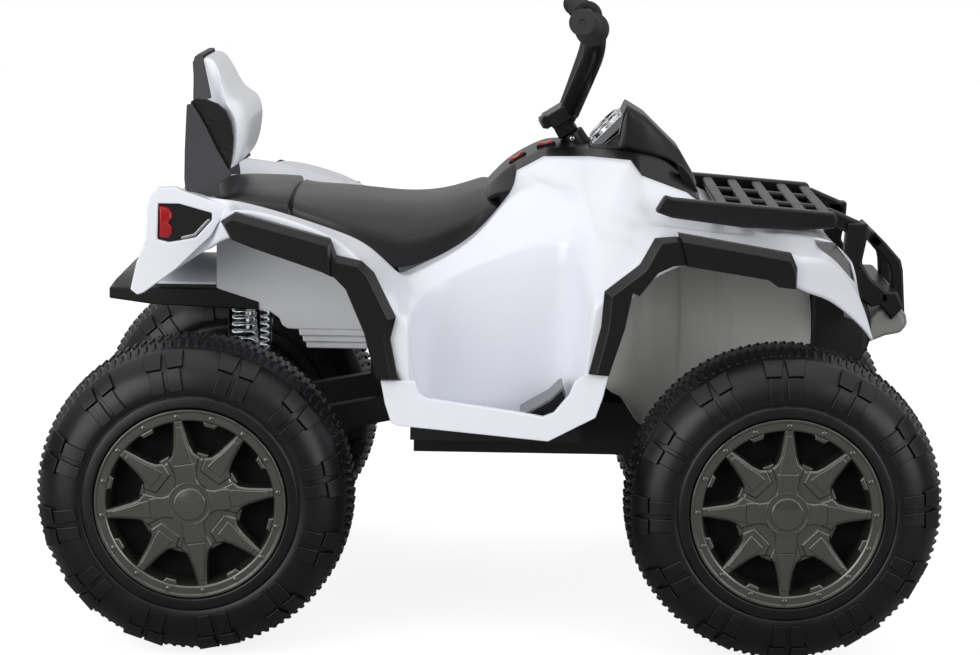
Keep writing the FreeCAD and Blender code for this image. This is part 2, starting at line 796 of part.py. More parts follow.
spine = side_points([(-147, SPINE_LOW), (-100, SPINE_LOW), (-100, 352), (-147, 352)])
pad(chassis, outline(chassis, "XZ", spine), "spine_width", both=True)
pivot_block = [
    ("pivot_at - arm_boss", f"{PIVOT_Z} - arm_boss"),
    (f"{TUB_REAR} + tub_wall", f"{PIVOT_Z} - arm_boss"),
    (f"{TUB_REAR} + tub_wall", f"{up(SPINE_LOW)} + tub_wall"),
    ("pivot_at - arm_boss", f"{up(SPINE_LOW)} + tub_wall"),
]
pad(chassis, outline(chassis, "XZ", pivot_block), "2 * (arm_y - arm_width / 2 - tie_drop)", both=True)
doc.recompute()
boss = rod("kingpin_tube", "z", "kingpin_boss", BEAM_THICK, (FRONT, "-kingpin_y", BEAM_LOW))
boss_left = rod("kingpin_tube_left", "z", "kingpin_boss", BEAM_THICK, (FRONT, "kingpin_y", BEAM_LOW))
boss_bores = []
for i, y in enumerate(("-kingpin_y", "kingpin_y")):
    boss_bores.append(rod(f"boss_bore_{i}", "z", "kingpin_radius", f"3 * {BEAM_THICK}",
                          (FRONT, y, f"{BEAM_LOW} - {BEAM_THICK}")))
pivot_bore = rod("pivot_bore", "y", "axle_radius", "3 * arm_y", ("pivot_at", "-1.5 * arm_y", PIVOT_Z))
bush_radius = size["column_radius"] + size["shaft_gap"]
column_bush = feature("column_bush", long_rod(column_foot, column_top, bush_radius))
node("chassis_frame", cut("chassis_frame", joined("chassis_solid", chassis, boss, boss_left),
                          *boss_bores, pivot_bore, column_bush))
PIVOT_HALF = "(arm_y + arm_width / 2 + tub_wall)"
PIVOT_END = ("pivot_at", f"-{PIVOT_HALF}", PIVOT_Z)
node("pivot_rod", rod("pivot_rod", "y", "axle_radius", f"2 * {PIVOT_HALF}", PIVOT_END))

# Rear swing arm with its gearboxes, motors and spring seats
swing = new_body("swing_arm")
SEAT_Z = "(spring_seat + axle_lift)"
BOX_FRONT = along(-284)
COIL_SIDE = "(spring_radius + spring_wire)"
rear_box = [
    (f"{REAR} - arm_tail", f"{AXLE} - arm_below"),
    (BOX_FRONT, f"{AXLE} - arm_below"),
    (f"spring_at + {COIL_SIDE}", f"{SEAT_Z} - seat_depth"),
    (f"spring_at + {COIL_SIDE}", SEAT_Z),
    (f"spring_at - {COIL_SIDE}", SEAT_Z),
    (f"{REAR} - arm_tail", f"{AXLE} + arm_above"),
]
pad(swing, outline(swing, "XZ", rear_box), "2 * arm_y + arm_width", both=True)
arm_side = [
    (BOX_FRONT, f"{AXLE} + arm_above"),
    ("pivot_at - arm_boss / 2", f"{PIVOT_Z} - arm_boss"),
    ("pivot_at + arm_boss / 2", f"{PIVOT_Z} - arm_boss"),
    ("pivot_at + arm_boss", PIVOT_Z),
    ("pivot_at + arm_boss / 2", f"{PIVOT_Z} + arm_boss"),
    ("pivot_at - arm_boss / 2", f"{PIVOT_Z} + arm_boss"),
    ("spring_at + spring_radius", SEAT_Z),
    ("spring_at", f"{AXLE} + arm_above"),
]
pad(swing, outline(swing, "XZ", arm_side, "arm_y - arm_width / 2"), "arm_width")
pad(swing, outline(swing, "XZ", arm_side, "-(arm_y - arm_width / 2)"), "arm_width", back=True)
doc.recompute()
pegs = []
for i, y in enumerate(("-spring_y", "spring_y")):
    pegs.append(rod(f"spring_peg_{i}", "z", "spring_radius - spring_wire", "spring_peg",
                    ("spring_at", y, f"{SEAT_Z} - seam")))
swing_bore = rod("swing_bore", "y", BORE, "3 * arm_y", ("pivot_at", "-1.5 * arm_y", PIVOT_Z))
swing_axle = rod("swing_axle", "y", "axle_radius", "4 * arm_y", (REAR, "-2 * arm_y", AXLE))
GEAR_IN = "(arm_y + arm_width / 2)"
node("swing_arm", cut("swing_arm", joined("swing_solid", swing, *pegs), swing_bore, swing_axle))

MOTOR_X = f"({REAR} + motor_ahead)"
MOTOR_Z = f"({AXLE} - motor_drop)"
CASE_END = f"-({GEAR_IN} + gearbox_width)"
gear_case = joined(
    "gear_case",
    rod("gear_case_axle", "y", "gearbox_radius", "gearbox_width", (REAR, CASE_END, AXLE)),
    rod("gear_case_motor", "y", "motor_radius + gearbox_wall", "gearbox_width", (MOTOR_X, CASE_END, MOTOR_Z)),
    block("gear_case_web", (REAR, "motor_ahead"), (CASE_END, "gearbox_width"),
          (f"{AXLE} - gearbox_web / 2", "gearbox_web")),
)
gear_bore = rod("gear_bore", "y", "axle_radius", "2 * track", (REAR, "-track", AXLE))
pair("gearboxes", cut("gear_case_bored", gear_case, gear_bore))
pair("motors", rod("motor", "y", "motor_radius", "motor_length", (MOTOR_X, f"-{GEAR_IN}", MOTOR_Z)))

# Rear springs in clear sleeves
spring_low = size["spring_seat"] + size["axle_lift"]
spring_high = size["spring_top"] + size["axle_lift"]
SMALLEST_GAP = 0.4


def biarc(start, start_way, end, end_way):
    """Two tangent arcs between two points with given directions."""
    chord = end - start
    ways = start_way + end_way
    straight = 2 * (1 - start_way.dot(end_way))
    along_ways = chord.dot(ways)
    reach = (-along_ways + math.sqrt(along_ways ** 2 + straight * chord.dot(chord))) / straight
    joint = (start + end + (start_way - end_way) * reach) / 2
    return [tangent_arc(start, start_way, joint), tangent_arc(end, end_way * -1, joint)]


def tangent_arc(start, way, end):
    """The arc that leaves a point in a given direction and ends at another point."""
    chord = end - start
    half_turn = way.getAngle(chord)
    to_middle = (way + Vec(chord).normalize()).normalize()
    middle = start + to_middle * (chord.Length / (2 * math.cos(half_turn / 2)))
    return Part.Arc(start, middle, end).toShape()


def spring(centre_y):
    """An upright coil with flat-lying straight ends, wound in quarter turns."""
    radius, wire = size["spring_radius"], size["spring_wire"]
    quarters = int(round(size["spring_turns"])) * 4
    low = spring_low + size["seam"] + wire / 2
    rise = (spring_high - spring_low - 2 * size["seam"] - wire) / quarters
    slope = math.atan2(rise, radius * math.pi / 2)
    middle = Vec(size["spring_at"], centre_y, low)
    points, ways = [], []
    for i in range(quarters + 1):
        turn = i * math.pi / 2
        points.append(middle + Vec(radius * math.cos(turn), radius * math.sin(turn), rise * i))
        ways.append(Vec(-math.sin(turn) * math.cos(slope), math.cos(turn) * math.cos(slope), math.sin(slope)))
    first = points[0] - Vec(ways[0].x, ways[0].y, 0).normalize() * wire
    last = points[-1] + Vec(ways[-1].x, ways[-1].y, 0).normalize() * wire
    ways[0] = (points[0] - first).normalize()
    ways[-1] = (last - points[-1]).normalize()
    edges = [Part.LineSegment(first, points[0]).toShape()]
    for i in range(quarters):
        edges += biarc(points[i], ways[i], points[i + 1], ways[i + 1])
    edges.append(Part.LineSegment(points[-1], last).toShape())
    path = Part.Wire(Part.sortEdges(edges)[0])
    per_turn = 32
    samples = path.discretize(quarters * per_turn // 4)
    gap = min((samples[i] - samples[k]).Length for i in range(len(samples))
              for k in range(i + per_turn // 2, min(i + 2 * per_turn, len(samples)))) - wire
    print(f"spring gap to itself {gap:.2f} mm")
    if gap < SMALLEST_GAP:
        raise ValueError("the spring's turns touch")
    return tube(path, wire / 2)


node("shock_springs", feature("shock_springs", Part.makeCompound(
    [spring(-size["spring_y"]), spring(size["spring_y"])])))
SPRING_TOP = "(spring_top + axle_lift)"
SLEEVE_LOW = f"{SPRING_TOP} - sleeve_length"
sleeve = cut(
    "sleeve",
    rod("sleeve_outside", "z", "sleeve_radius", "sleeve_length", ("spring_at", "-spring_y", SLEEVE_LOW)),
    rod("sleeve_inside", "z", "sleeve_radius - sleeve_wall", "3 * sleeve_length",
        ("spring_at", "-spring_y", f"{SLEEVE_LOW} - sleeve_length")),
)
pair("shock_sleeves", sleeve)

# Rear bumper, which also carries the tops of the springs
bumper = new_body("rear_bumper")
bumper_side = side_points([
    (-452, 381), (-452, 394), (-434, 408), (-326, 407.9), (-276, 379.2), (-276, 370), (-398, 374)])
pad(bumper, outline(bumper, "XZ", bumper_side), "2 * bumper_half", both=True)
bumper_hollow = side_points([(-446, 380), (-446, 391), (-431, 403), (-330, 401), (-330, 371), (-398, 370)])
pocket(bumper, outline(bumper, "XZ", bumper_hollow), "2 * (bumper_half - bumper_wall)", both=True)
doc.recompute()
CAP_TOP = up(378)
caps = []
for i, y in enumerate(("-spring_y", "spring_y")):
    caps.append(rod(f"spring_cap_{i}", "z", "sleeve_radius + sleeve_wall", f"{CAP_TOP} - {SPRING_TOP}",
                    ("spring_at", y, SPRING_TOP)))
    caps.append(rod(f"spring_stem_{i}", "z", "spring_radius - spring_wire", "spring_peg + sleeve_wall",
                    ("spring_at", y, f"{SPRING_TOP} - spring_peg")))
node("rear_bumper", joined("rear_bumper", bumper, *caps))

# White body shell: rows from the tail to the nose, each from the outer edge to the top
F = DRAWN_FENDER
SHELL_ROWS = [
    [(-404, -222, 402), (-405, -205, 408), (-402, -170, 416), (-398, -110, 420)],
    [(-404, -228, 401), (-400, -231, 438), (-392, -231, 510), (-390, -118, 502)],
    [(-334, -230, 450), (-324, -231, 478), (-332, -231, 515), (-338, -128, 503)],
    [(-306, -262, 468), (-303, -272, 492), (-299, -224, 507), (-300, -132, 484)],
    [(-240, -F, 462), (-240, -F, 492), (-240, -224, 494), (-232, -140.4, 462)],
    [(-180, -F, 440), (-178, -F, 474), (-182, -222, 477), (-172, -140.4, 440)],
    [(-150, -F, 412), (-142, -F, 447), (-143, -214, 463), (-140, -140.4, 424)],
    [(-112, -F, 322), (-107, -F, 388), (-112, -200, 428), (-119, -140.4, 414)],
    [(-88, -168, 256), (-88, -174, 404), (-88, -162, 424), (-88, -140.4, 426)],
    [(-20, -168, 256), (-20, -178, 434), (-20, -158, 458), (-24, -140.4, 456)],
    [(40, -168, 256), (36, -180, 456), (16, -143, 514), (10, -124, 502)],
    [(72, -170, 256), (72, -180, 461), (60, -140, 525), (34, -104, 536)],
    [(94, -174, 258), (98, -184, 460), (100, -142, 514), (64, -104, 549)],
    [(118, -F, 324), (122, -F, 412), (130, -160, 500), (140, -104, 550)],
    [(166, -F, 418), (180, -F, 482), (182, -148, 482), (176, -104, 534)],
    [(240, -F, 448), (244, -F, 482), (240, -148, 474), (222, -104, 510)],
    [(300, -F, 436), (300, -F, 472), (300, -150, 468), (270, -100, 484)],
    [(342, -F, 424), (342, -F, 462), (345, -196, 476), (345, -104, 472)],
    [(386, -250, 410), (386, -252, 452), (394, -182, 468), (400, -100, 464)],
    [(430, -216, 372), (424, -206, 408), (418, -150, 440), (404, -90, 440)],
    [(440, -210, 356), (438, -200, 362), (428, -150, 372), (408, -90, 372)],
]
TOP_INDEX = 3
OPEN_ROWS = range(2, 15)
LAMP_INDEX = 18
LAMP_CELL_INDEXES = (1, 5)


def body_shell():
    rows = [both_sides([at(*point) for point in row]) for row in SHELL_ROWS]
    under_seat = [(i, TOP_INDEX) for i in OPEN_ROWS]
    lamps = [(LAMP_INDEX, j) for j in LAMP_CELL_INDEXES]
    return plate(rows, size["shell_wall"], under_seat + lamps)


node("body_shell", feature("body_shell", body_shell()))

# Footboards
board = new_body("footboard")
BOARD_OUT = "(fender_half - board_inset)"
board_plan = [
    (along(-82), "-board_in"),
    (along(84), "-board_in"),
    (along(108), f"-{BOARD_OUT}"),
    (along(-104), f"-{BOARD_OUT}"),
]
pad(board, outline(board, "XY", board_plan, board_lift), "board_wall")
BOARD_RISE = f"(board_floor + axle_lift - {DRAWN_BOARD})"
BOARD_RIM = [
    (-124, 316), (-115, 279), (-110, 266), (-90, 264), (66, 248), (119, 277), (130, 320),
    (112, 320), (90, 302), (70, 278), (48, 273), (-28, 286), (-80, 298), (-104, 316)]


def board_points(points):
    """Side-view corners that follow the height of the footboards."""
    return [(along(x), f"{z} + {BOARD_RISE}") for x, z in points]


pad(board, outline(board, "XZ", board_points(BOARD_RIM), BOARD_OUT), "board_rim")
pair("footboards", board)

# Raised flares over the wheels
FRONT_FLARE = [
    (110, 328), (123, 382), (126, 422), (165, 453), (181, 483), (203, 485), (206, 490), (333, 469),
    (340, 453), (340, 429), (319, 431), (308, 439), (216, 453), (203, 452), (186, 444), (165, 417),
    (158, 421), (150, 380), (133, 326)]
FRONT_BLOCK = [(206, 490), (333, 469), (340, 453), (340, 429), (319, 431), (308, 439), (216, 453)]
REAR_FLARE = [
    (-303, 495), (-287, 505), (-181, 477), (-174, 458), (-146, 452), (-132, 439), (-107, 389),
    (-113, 364), (-104, 318), (-129, 318), (-134, 337), (-143, 371), (-164, 420), (-178, 434),
    (-191, 440), (-269, 466), (-292, 475)]
REAR_BLOCK = [(-303, 495), (-287, 505), (-181, 477), (-178, 434), (-191, 440), (-269, 466), (-292, 475)]
ON_FACE = 0.01


def flare(name, whole, raised):
    """A flat flare with a thicker chamfered block on it."""
    body = new_body(name)
    foot = "fender_half + seam"
    pad(body, outline(body, "XZ", side_points(whole), foot), "flare_thickness")
    base = pad(body, outline(body, "XZ", side_points(raised), foot), "flare_thickness + flare_block")
    doc.recompute()
    outer = base.Shape.BoundBox.YMin
    rim_edges = []
    for number, edge in enumerate(base.Shape.Edges, 1):
        if edge.BoundBox.YMax - outer < ON_FACE:
            rim_edges.append(f"Edge{number}")
    chamfer = body.newObject("PartDesign::Chamfer", name + "_chamfer")
    chamfer.Base = (base, rim_edges)
    bind(chamfer, Size="flare_chamfer")
    return body


pair("front_flares", flare("front_flare", FRONT_FLARE, FRONT_BLOCK))
pair("rear_flares", flare("rear_flare", REAR_FLARE, REAR_BLOCK))

# White walls inside the wheel arches
LINER_IN = -(size["tub_half"] + size["seam"])
LINER_TOP = [
    (126, -266, 398), (148, -190, 430), (174, LINER_IN, 450), (330, LINER_IN, 448), (398, LINER_IN, 436)]
LINER_LOW = [
    (132, -266, 306), (152, -190, 285), (177, LINER_IN, 236), (330, LINER_IN, 236), (398, LINER_IN, 300)]


def front_liner():
    rows = [[at(*point) for point in row] for row in (LINER_LOW, LINER_TOP)]
    right = plate(rows, size["liner_wall"])
    return Part.makeCompound([right, right.mirror(Vec(), Vec(0, 1, 0))])


node("front_arch_liners", feature("front_arch_liners", front_liner()))

power_box = new_body("power_box")
BOX_SIDE = [
    (-326, 436), (-326, 408), (-265, 373), (-243, 349), (-231, 347), (-147, 347), (-147, 400), (-200, 436)]
pad(power_box, outline(power_box, "XZ", side_points(BOX_SIDE)), "2 * box_half", both=True)
FIN_LOWS = (338, 330, 322)
for step, low in enumerate(FIN_LOWS):
    fin = side_points([(-229 + step, 348), (-229 + step, low), (-147, low), (-147, 348)])
    fin_width = f"2 * (box_half - {step} * fin_step - fin_step / 2)"
    pad(power_box, outline(power_box, "XZ", fin), fin_width, both=True)
BOX_INSIDE = [(-322, 460), (-322, 410), (-263, 376), (-241, 352), (-151, 352), (-151, 460)]
pocket(power_box, outline(power_box, "XZ", side_points(BOX_INSIDE)), "2 * (box_half - box_wall)", both=True)
node("power_box", power_box)

BATTERY_REAR = along(-236)
BATTERY_LOW = up(352)
battery_case = block("battery_case", (BATTERY_REAR, "battery_width"),
                     ("-battery_length / 2", "battery_length"), (BATTERY_LOW, "battery_height"))
battery_parts = [battery_case]
for i, y in enumerate(("-battery_length / 2 + terminal_in", "battery_length / 2 - terminal_in")):
    battery_parts.append(block(f"terminal_{i}", (f"{BATTERY_REAR} + terminal_length", "terminal_length"),
                               (f"{y} - terminal_width / 2", "terminal_width"),
                               (f"{BATTERY_LOW} + battery_height", "terminal_height")))
node("battery", joined("battery", *battery_parts))
CONTROL_LOW = f"{tub_lift} + tub_wall"
node("control_box", block("control_box", (along(-60), "control_length"),
                          ("-control_width / 2", "control_width"), (CONTROL_LOW, "control_height")))

# Seat: rows of (x, half width, low edge, upper edge, top)
SEAT_ROWS = [
    (-335, 98, 498, 502, 507),
    (-322, 112, 486, 506, 512),
    (-246, 120, 478, 504, 511),
    (-234, 124, 474, 495, 503),
    (-174, 140, 442, 484, 501),
    (-126, 140, 420, 468, 496),
    (-92, 140, 428, 472, 495),
    (-58, 140, 440, 480, 499),
    (-24, 134, 460, 491, 511),
    (-12, 128, 470, 498, 515),
    (2, 118, 484, 496, 506),
    (7, 112, 490, 494, 497),
]


SEAT_EDGE_IN = 5
SEAT_CROWN = 3
SEAT_SHARES = (0.62, 0.2)


def seat():
    rows = []
    for x, half, low, edge, top in SEAT_ROWS:
        side = [at(x, -half, low), at(x, -(half - SEAT_EDGE_IN), edge)]
        crown = [at(x, -half * SEAT_SHARES[0], top - SEAT_CROWN), at(x, -half * SEAT_SHARES[1], top)]
        rows.append(both_sides(side + crown))
    return plate(rows, size["seat_wall"])


node("seat", feature("seat", seat()))

# Backrest: white pad, black shell with cheeks, and two brackets
PAD_SIDE = [
    (-347, 664), (-334, 661), (-322, 638), (-312, 617), (-299, 613), (-291, 601), (-289, 583),
    (-293, 558), (-300, 540), (-311, 531), (-331, 556), (-346, 598), (-350, 616), (-353, 655)]
SHELL_SIDE = [
    (-346, 669), (-359, 665), (-361, 658), (-356, 616), (-352, 598), (-335, 556), (-331.3, 556),
    (-346.3, 598), (-350.3, 616), (-353.3, 655), (-347, 664.3)]
CHEEK = [
    (-353, 617), (-345, 621), (-323, 615), (-311, 600), (-306, 578), (-305, 550), (-309, 531),
    (-331, 557), (-350, 601), (-355, 611)]
BRACKET = [
    (-360, 608), (-356, 608), (-338, 568), (-310, 526), (-324, 518), (-322, 503.4), (-362, 502.8),
    (-364, 523), (-363, 556)]
rest = new_body("backrest_pad")
pad(rest, outline(rest, "XZ", side_points(PAD_SIDE)), "2 * (backrest_half - pad_inset)", both=True)
node("backrest_pad", rest)
shell = new_body("backrest_shell")
pad(shell, outline(shell, "XZ", side_points(SHELL_SIDE)), "2 * backrest_half", both=True)
cheek_in = "backrest_half - pad_inset + seam"
pad(shell, outline(shell, "XZ", side_points(CHEEK), cheek_in), "cheek_width")
pad(shell, outline(shell, "XZ", side_points(CHEEK), f"-({cheek_in})"), "cheek_width", back=True)
node("backrest_shell", shell)
bracket = new_body("bracket")
bracket_in = f"{cheek_in} + cheek_width + seam"
pad(bracket, outline(bracket, "XZ", side_points(BRACKET), bracket_in), "bracket_width")
pair("backrest_brackets", bracket)

# Dash console: rows of (x, half of the top, top, edge)
CONSOLE_ROWS = [
    (-5, 55, 518, 514),
    (11, 62, 534, 521),
    (31, 66, 547, 540),
    (54, 67, 559, 552),
    (68, 67, 562, 553),
    (105, 67, 562.5, 554),
    (150, 67, 560, 553),
    (176, 67, 556, 539),
    (208, 66, 550, 521),
    (242, 60, 513, 506),
]
COLLAR_RADIUS = 13
COLLAR_REACH = (-18, 5.2)
FIRST_ROCKER = 26
ROCKERS = {"power_switch": 0, "direction_switch": 34}
ROCKER_Y = -30
ROCKER_RISE = 1
ROCKER_CLEARANCE = 1.4
ROCKER_DEPTHS = 3


def rocker_place(name):
    """On the slope of the dash, at the rocker's step ahead of the first one."""
    x = at(FIRST_ROCKER, ROCKER_Y, 0).x + ROCKERS[name]
    ridge = [at(row[0], 0, row[2]) for row in CONSOLE_ROWS]
    rear, front = [(a, b) for a, b in zip(ridge, ridge[1:]) if a.x <= x < b.x][0]
    grade = (front.z - rear.z) / (front.x - rear.x)
    middle = Vec(x, ROCKER_Y, rear.z + grade * (x - rear.x) + ROCKER_RISE)
    return FreeCAD.Placement(middle, FreeCAD.Rotation(Vec(0, 1, 0), -math.degrees(math.atan(grade))))


def rocker_block(name, grow):
    """The rocker's block, or the hole round it."""
    long = size["rocker_length"] + grow
    wide = size["rocker_width"] + grow
    high = size["rocker_height"] + grow * ROCKER_DEPTHS
    shape = Part.makeBox(long, wide, high, Vec(-long / 2, -wide / 2, -high / 2))
    shape.Placement = rocker_place(name)
    return shape


def console():
    rows = []
    edge_half = size["console_half"]
    for x, half, top, edge in CONSOLE_ROWS:
        rows.append(both_sides([at(x, -edge_half, edge), at(x, -half, top)]))
    shape = plate(rows, size["console_wall"])
    for name in ROCKERS:
        shape = shape.cut(rocker_block(name, ROCKER_CLEARANCE))
    low, high = (column_top + column_up * reach for reach in COLLAR_REACH)
    shape = shape.fuse(long_rod(low, high, COLLAR_RADIUS))
    hole_radius = size["column_radius"] + size["seam"]
    return shape.cut(long_rod(crank_root, column_top + column_up * YOKE_RISE, hole_radius))


node("dash_console", feature("dash_console", console()))
for name in ROCKERS:
    node(name, feature(name, rocker_block(name, 0)))

# Instrument cowl: rows of (x, half of the top, top, base)
COWL_ROWS = [
    (111, 54, 564.5, 564),
    (153, 56, 614, 561.5),
    (178, 54, 598, 557.5),
    (208, 51, 570, 553),
    (219, 50, 560, 543.5),
    (237, 46, 530, 523),
]
COWL_HALF = 64


def cowl():
    rows = []
    for x, half, top, base in COWL_ROWS:
        rows.append(both_sides([at(x, -COWL_HALF, base), at(x, -half, top)]))
    return plate(rows, size["console_wall"])


node("dash_cowl", feature("dash_cowl", cowl()))
gauge_foot, gauge_head = (at(row[0], 0, row[2]) for row in COWL_ROWS[:2])
gauge_rise = (gauge_head - gauge_foot).normalize()
gauge_out = Vec(-gauge_rise.z, 0, gauge_rise.x)
gauge_turn = FreeCAD.Rotation(gauge_rise, Vec(0, 1, 0), gauge_out, "XYZ")
GAUGE_LONG = 56
GAUGE_HALF = 50
GAUGE_THICK = 5
GAUGE_LIFT = 4
DIAL_RADIUS = 21
DIAL_Y = 25
DIAL_FLOOR = 2
DIAL_THICK = 1.5


def gauge_discs(thick):
    """Two discs side by side on the floor of the instrument face."""
    discs = []
    for side in (-1, 1):
        middle = Vec(GAUGE_LIFT + GAUGE_LONG / 2, side * DIAL_Y, DIAL_FLOOR)
        discs.append(Part.makeCylinder(DIAL_RADIUS, thick, middle, Vec(0, 0, 1)))
    return discs


def on_cowl(shape):
    shape.Placement = FreeCAD.Placement(gauge_foot, gauge_turn)
    return shape


gauge_corner = Vec(GAUGE_LIFT, -GAUGE_HALF, size["seam"])
gauge_plate = Part.makeBox(GAUGE_LONG, 2 * GAUGE_HALF, GAUGE_THICK, gauge_corner)
gauge_wells = Part.makeCompound(gauge_discs(GAUGE_THICK))
node("gauge_bezel", feature("gauge_bezel", on_cowl(gauge_plate.cut(gauge_wells))))
node("gauge_dials", feature("gauge_dials", on_cowl(Part.makeCompound(gauge_discs(DIAL_THICK)))))

# Front rack
rack = new_body("front_rack")
RAIL = [
    (186, 498), (197, 517), (207, 514), (395, 500), (398, 492), (397, 482), (349, 479), (288, 481),
    (206, 491)]
RAIL_IN = "rack_half - rail_width / 2"
for offset, back in ((RAIL_IN, False), (f"-({RAIL_IN})", True)):
    pad(rack, outline(rack, "XZ", side_points(RAIL), offset), "rail_width", back=back)
SLAT_TOPS = [(266, 506.6), (297, 504.3), (328, 502), (359, 499.7), (388, 497.5)]
for x, top in SLAT_TOPS:
    slat_rear = f"{along(x)} - slat_width / 2"
    slat_front = f"{along(x)} + slat_width / 2"
    slat_low = f"{up(top)} - slat_thickness"
    slat = [(slat_rear, slat_low), (slat_front, slat_low), (slat_front, up(top)), (slat_rear, up(top))]
    pad(rack, outline(rack, "XZ", slat), "2 * rack_half", both=True)
node("front_rack", rack)

# Front bumper: two struts and a hoop joined by cross bars, over a white skid
guard = new_body("front_bumper")
STRUT = [
    (414, 483), (439, 483), (438, 463), (433, 436), (444, 418), (465, 401), (468, 391), (446, 383),
    (428, 397), (417, 421), (411.5, 443)]
STRUT_IN = "strut_y - strut_width / 2"
HOOP = [
    (453, 467), (467, 454), (486, 433), (489, 421), (493, 368), (478, 368), (474, 418), (472, 427),
    (456, 445), (446, 456)]
HOOP_IN = "hoop_half - hoop_bar"
for bar_side, inner, width in ((STRUT, STRUT_IN, "strut_width"), (HOOP, HOOP_IN, "hoop_bar")):
    pad(guard, outline(guard, "XZ", side_points(bar_side), inner), width)
    pad(guard, outline(guard, "XZ", side_points(bar_side), f"-({inner})"), width, back=True)
TOP_BAR = [(453, 467), (467, 454), (456, 445), (446, 456)]
pad(guard, outline(guard, "XZ", side_points(TOP_BAR)), "2 * hoop_half", both=True)
LOW_BAR = [(456, 402), (476, 402), (492, 380), (493, 368), (470, 368), (456, 386)]
pad(guard, outline(guard, "XZ", side_points(LOW_BAR)), "2 * strut_y + strut_width", both=True)
node("front_bumper", guard)
skid = new_body("front_skid")
SKID = [(424, 345), (458, 368), (495, 368), (498, 349), (493, 343), (473, 340), (424, 324)]
pad(skid, outline(skid, "XZ", side_points(SKID)), "2 * skid_half", both=True)
node("front_skid", skid)

# Lamps
LAMP_SIDES = ((LAMP_INDEX, 2), (LAMP_INDEX, 1), (LAMP_INDEX + 1, 1), (LAMP_INDEX + 1, 2))
lamp_corners = [at(*SHELL_ROWS[i][j]) for i, j in LAMP_SIDES]
# How far each layer lies inside the shell's face, its thickness and its share of the opening
LENS_LAYER = (1, 5, 0.92)
HOUSING_LAYER = (6.3, 22, 0.9)


def lamp(inset, thick, margin):
    middle = sum(lamp_corners, Vec()) / len(lamp_corners)
    normal = (lamp_corners[2] - lamp_corners[0]).cross(lamp_corners[3] - lamp_corners[1]).normalize()
    if normal.x < 0:
        normal = normal * -1
    ring = [middle + (corner - middle) * margin - normal * inset for corner in lamp_corners]
    back = [corner - normal * thick for corner in ring]
    points = ring + back
    faces = [(0, 1, 2), (0, 2, 3), (4, 6, 5), (4, 7, 6)]
    for i in range(4):
        k = (i + 1) % 4
        faces += [(i, i + 4, k + 4), (i, k + 4, k)]
    right = solid_of(points, faces)
    return Part.makeCompound([right, right.mirror(Vec(), Vec(0, 1, 0))])


node("headlight_lenses", feature("headlight_lenses", lamp(*LENS_LAYER)))
node("headlight_housings", feature("headlight_housings", lamp(*HOUSING_LAYER)))
TAIL_WINDOW = [
    (-380, 507), (-347, 506), (-330, 496), (-330, 487), (-338, 470), (-355, 467), (-369, 462), (-381, 467)]
TAIL_LENS = [(-378, 504), (-366, 500), (-363, 486), (-367, 472), (-378, 470)]
tail_case = new_body("tail_case")
TAIL_FACE = "tail_y + tail_depth"
pad(tail_case, outline(tail_case, "XZ", side_points(TAIL_WINDOW), "tail_y"), "tail_depth")
pocket(tail_case, outline(tail_case, "XZ", side_points(TAIL_LENS), TAIL_FACE), "tail_recess")
pair("tail_lamp_cases", tail_case)
tail_lens = new_body("tail_lens")
pad(tail_lens, outline(tail_lens, "XZ", side_points(TAIL_LENS), f"{TAIL_FACE} - tail_recess"), "tail_depth")
pair("tail_lamp_lenses", tail_lens)

# Accelerator pedal on its base
PEDAL_IN = "-(pedal_y) - pedal_width / 2"
base = new_body("pedal_base")
BASE_SIDE = [(30, 252.2), (92, 252.2), (92, 258), (46, 258), (46, 261), (30, 261)]
pad(base, outline(base, "XZ", board_points(BASE_SIDE), PEDAL_IN), "pedal_width")
node("pedal_base", base)
pedal = new_body("foot_pedal")
PEDAL_SIDE = [(34, 262), (40, 261.5), (52, 264), (78, 273), (90, 292), (86, 306), (71, 291), (36, 270)]
pad(pedal, outline(pedal, "XZ", board_points(PEDAL_SIDE), PEDAL_IN), "pedal_width")
node("foot_pedal", pedal)

# Every object has to be sound before anything is written
doc.recompute()
faults = []
for thing in doc.Objects:
    if "Invalid" in thing.State or "Error" in thing.State:
        faults.append(f"{thing.Label}: {thing.State}")
for name, thing in nodes.items():
    shape = thing.Shape
    if shape.isNull() or not shape.isValid() or not shape.Solids or shape.Volume <= 0:
        faults.append(f"{name}: no sound solid")
if faults:
    raise RuntimeError("; ".join(faults))
os.makedirs("parts", exist_ok=True)
for name, thing in nodes.items():
    thing.Shape.exportStep(f"parts/{name}.step")
print(len(nodes), "sub-parts written")
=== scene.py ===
import logging
import math
from dataclasses import dataclass
from enum import Enum
from typing import Iterable, Sequence

import bmesh
import bpy
from mathutils import Matrix, Vector


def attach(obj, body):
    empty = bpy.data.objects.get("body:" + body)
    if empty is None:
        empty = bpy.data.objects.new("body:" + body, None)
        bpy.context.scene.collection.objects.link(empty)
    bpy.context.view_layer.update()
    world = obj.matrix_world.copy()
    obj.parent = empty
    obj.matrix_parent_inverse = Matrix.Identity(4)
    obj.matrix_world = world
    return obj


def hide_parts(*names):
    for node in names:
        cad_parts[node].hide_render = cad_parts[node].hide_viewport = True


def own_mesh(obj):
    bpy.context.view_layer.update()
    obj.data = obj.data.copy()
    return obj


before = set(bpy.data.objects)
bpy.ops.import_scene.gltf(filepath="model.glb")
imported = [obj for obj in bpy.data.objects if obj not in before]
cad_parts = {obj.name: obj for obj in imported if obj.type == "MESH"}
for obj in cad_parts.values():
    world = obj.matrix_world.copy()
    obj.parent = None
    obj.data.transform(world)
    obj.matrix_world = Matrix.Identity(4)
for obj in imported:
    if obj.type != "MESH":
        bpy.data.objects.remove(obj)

LOG = logging.getLogger("quad_bike")
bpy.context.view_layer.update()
MM = 0.001
Point = Sequence[float]
Outline = Sequence[tuple[float, float]]

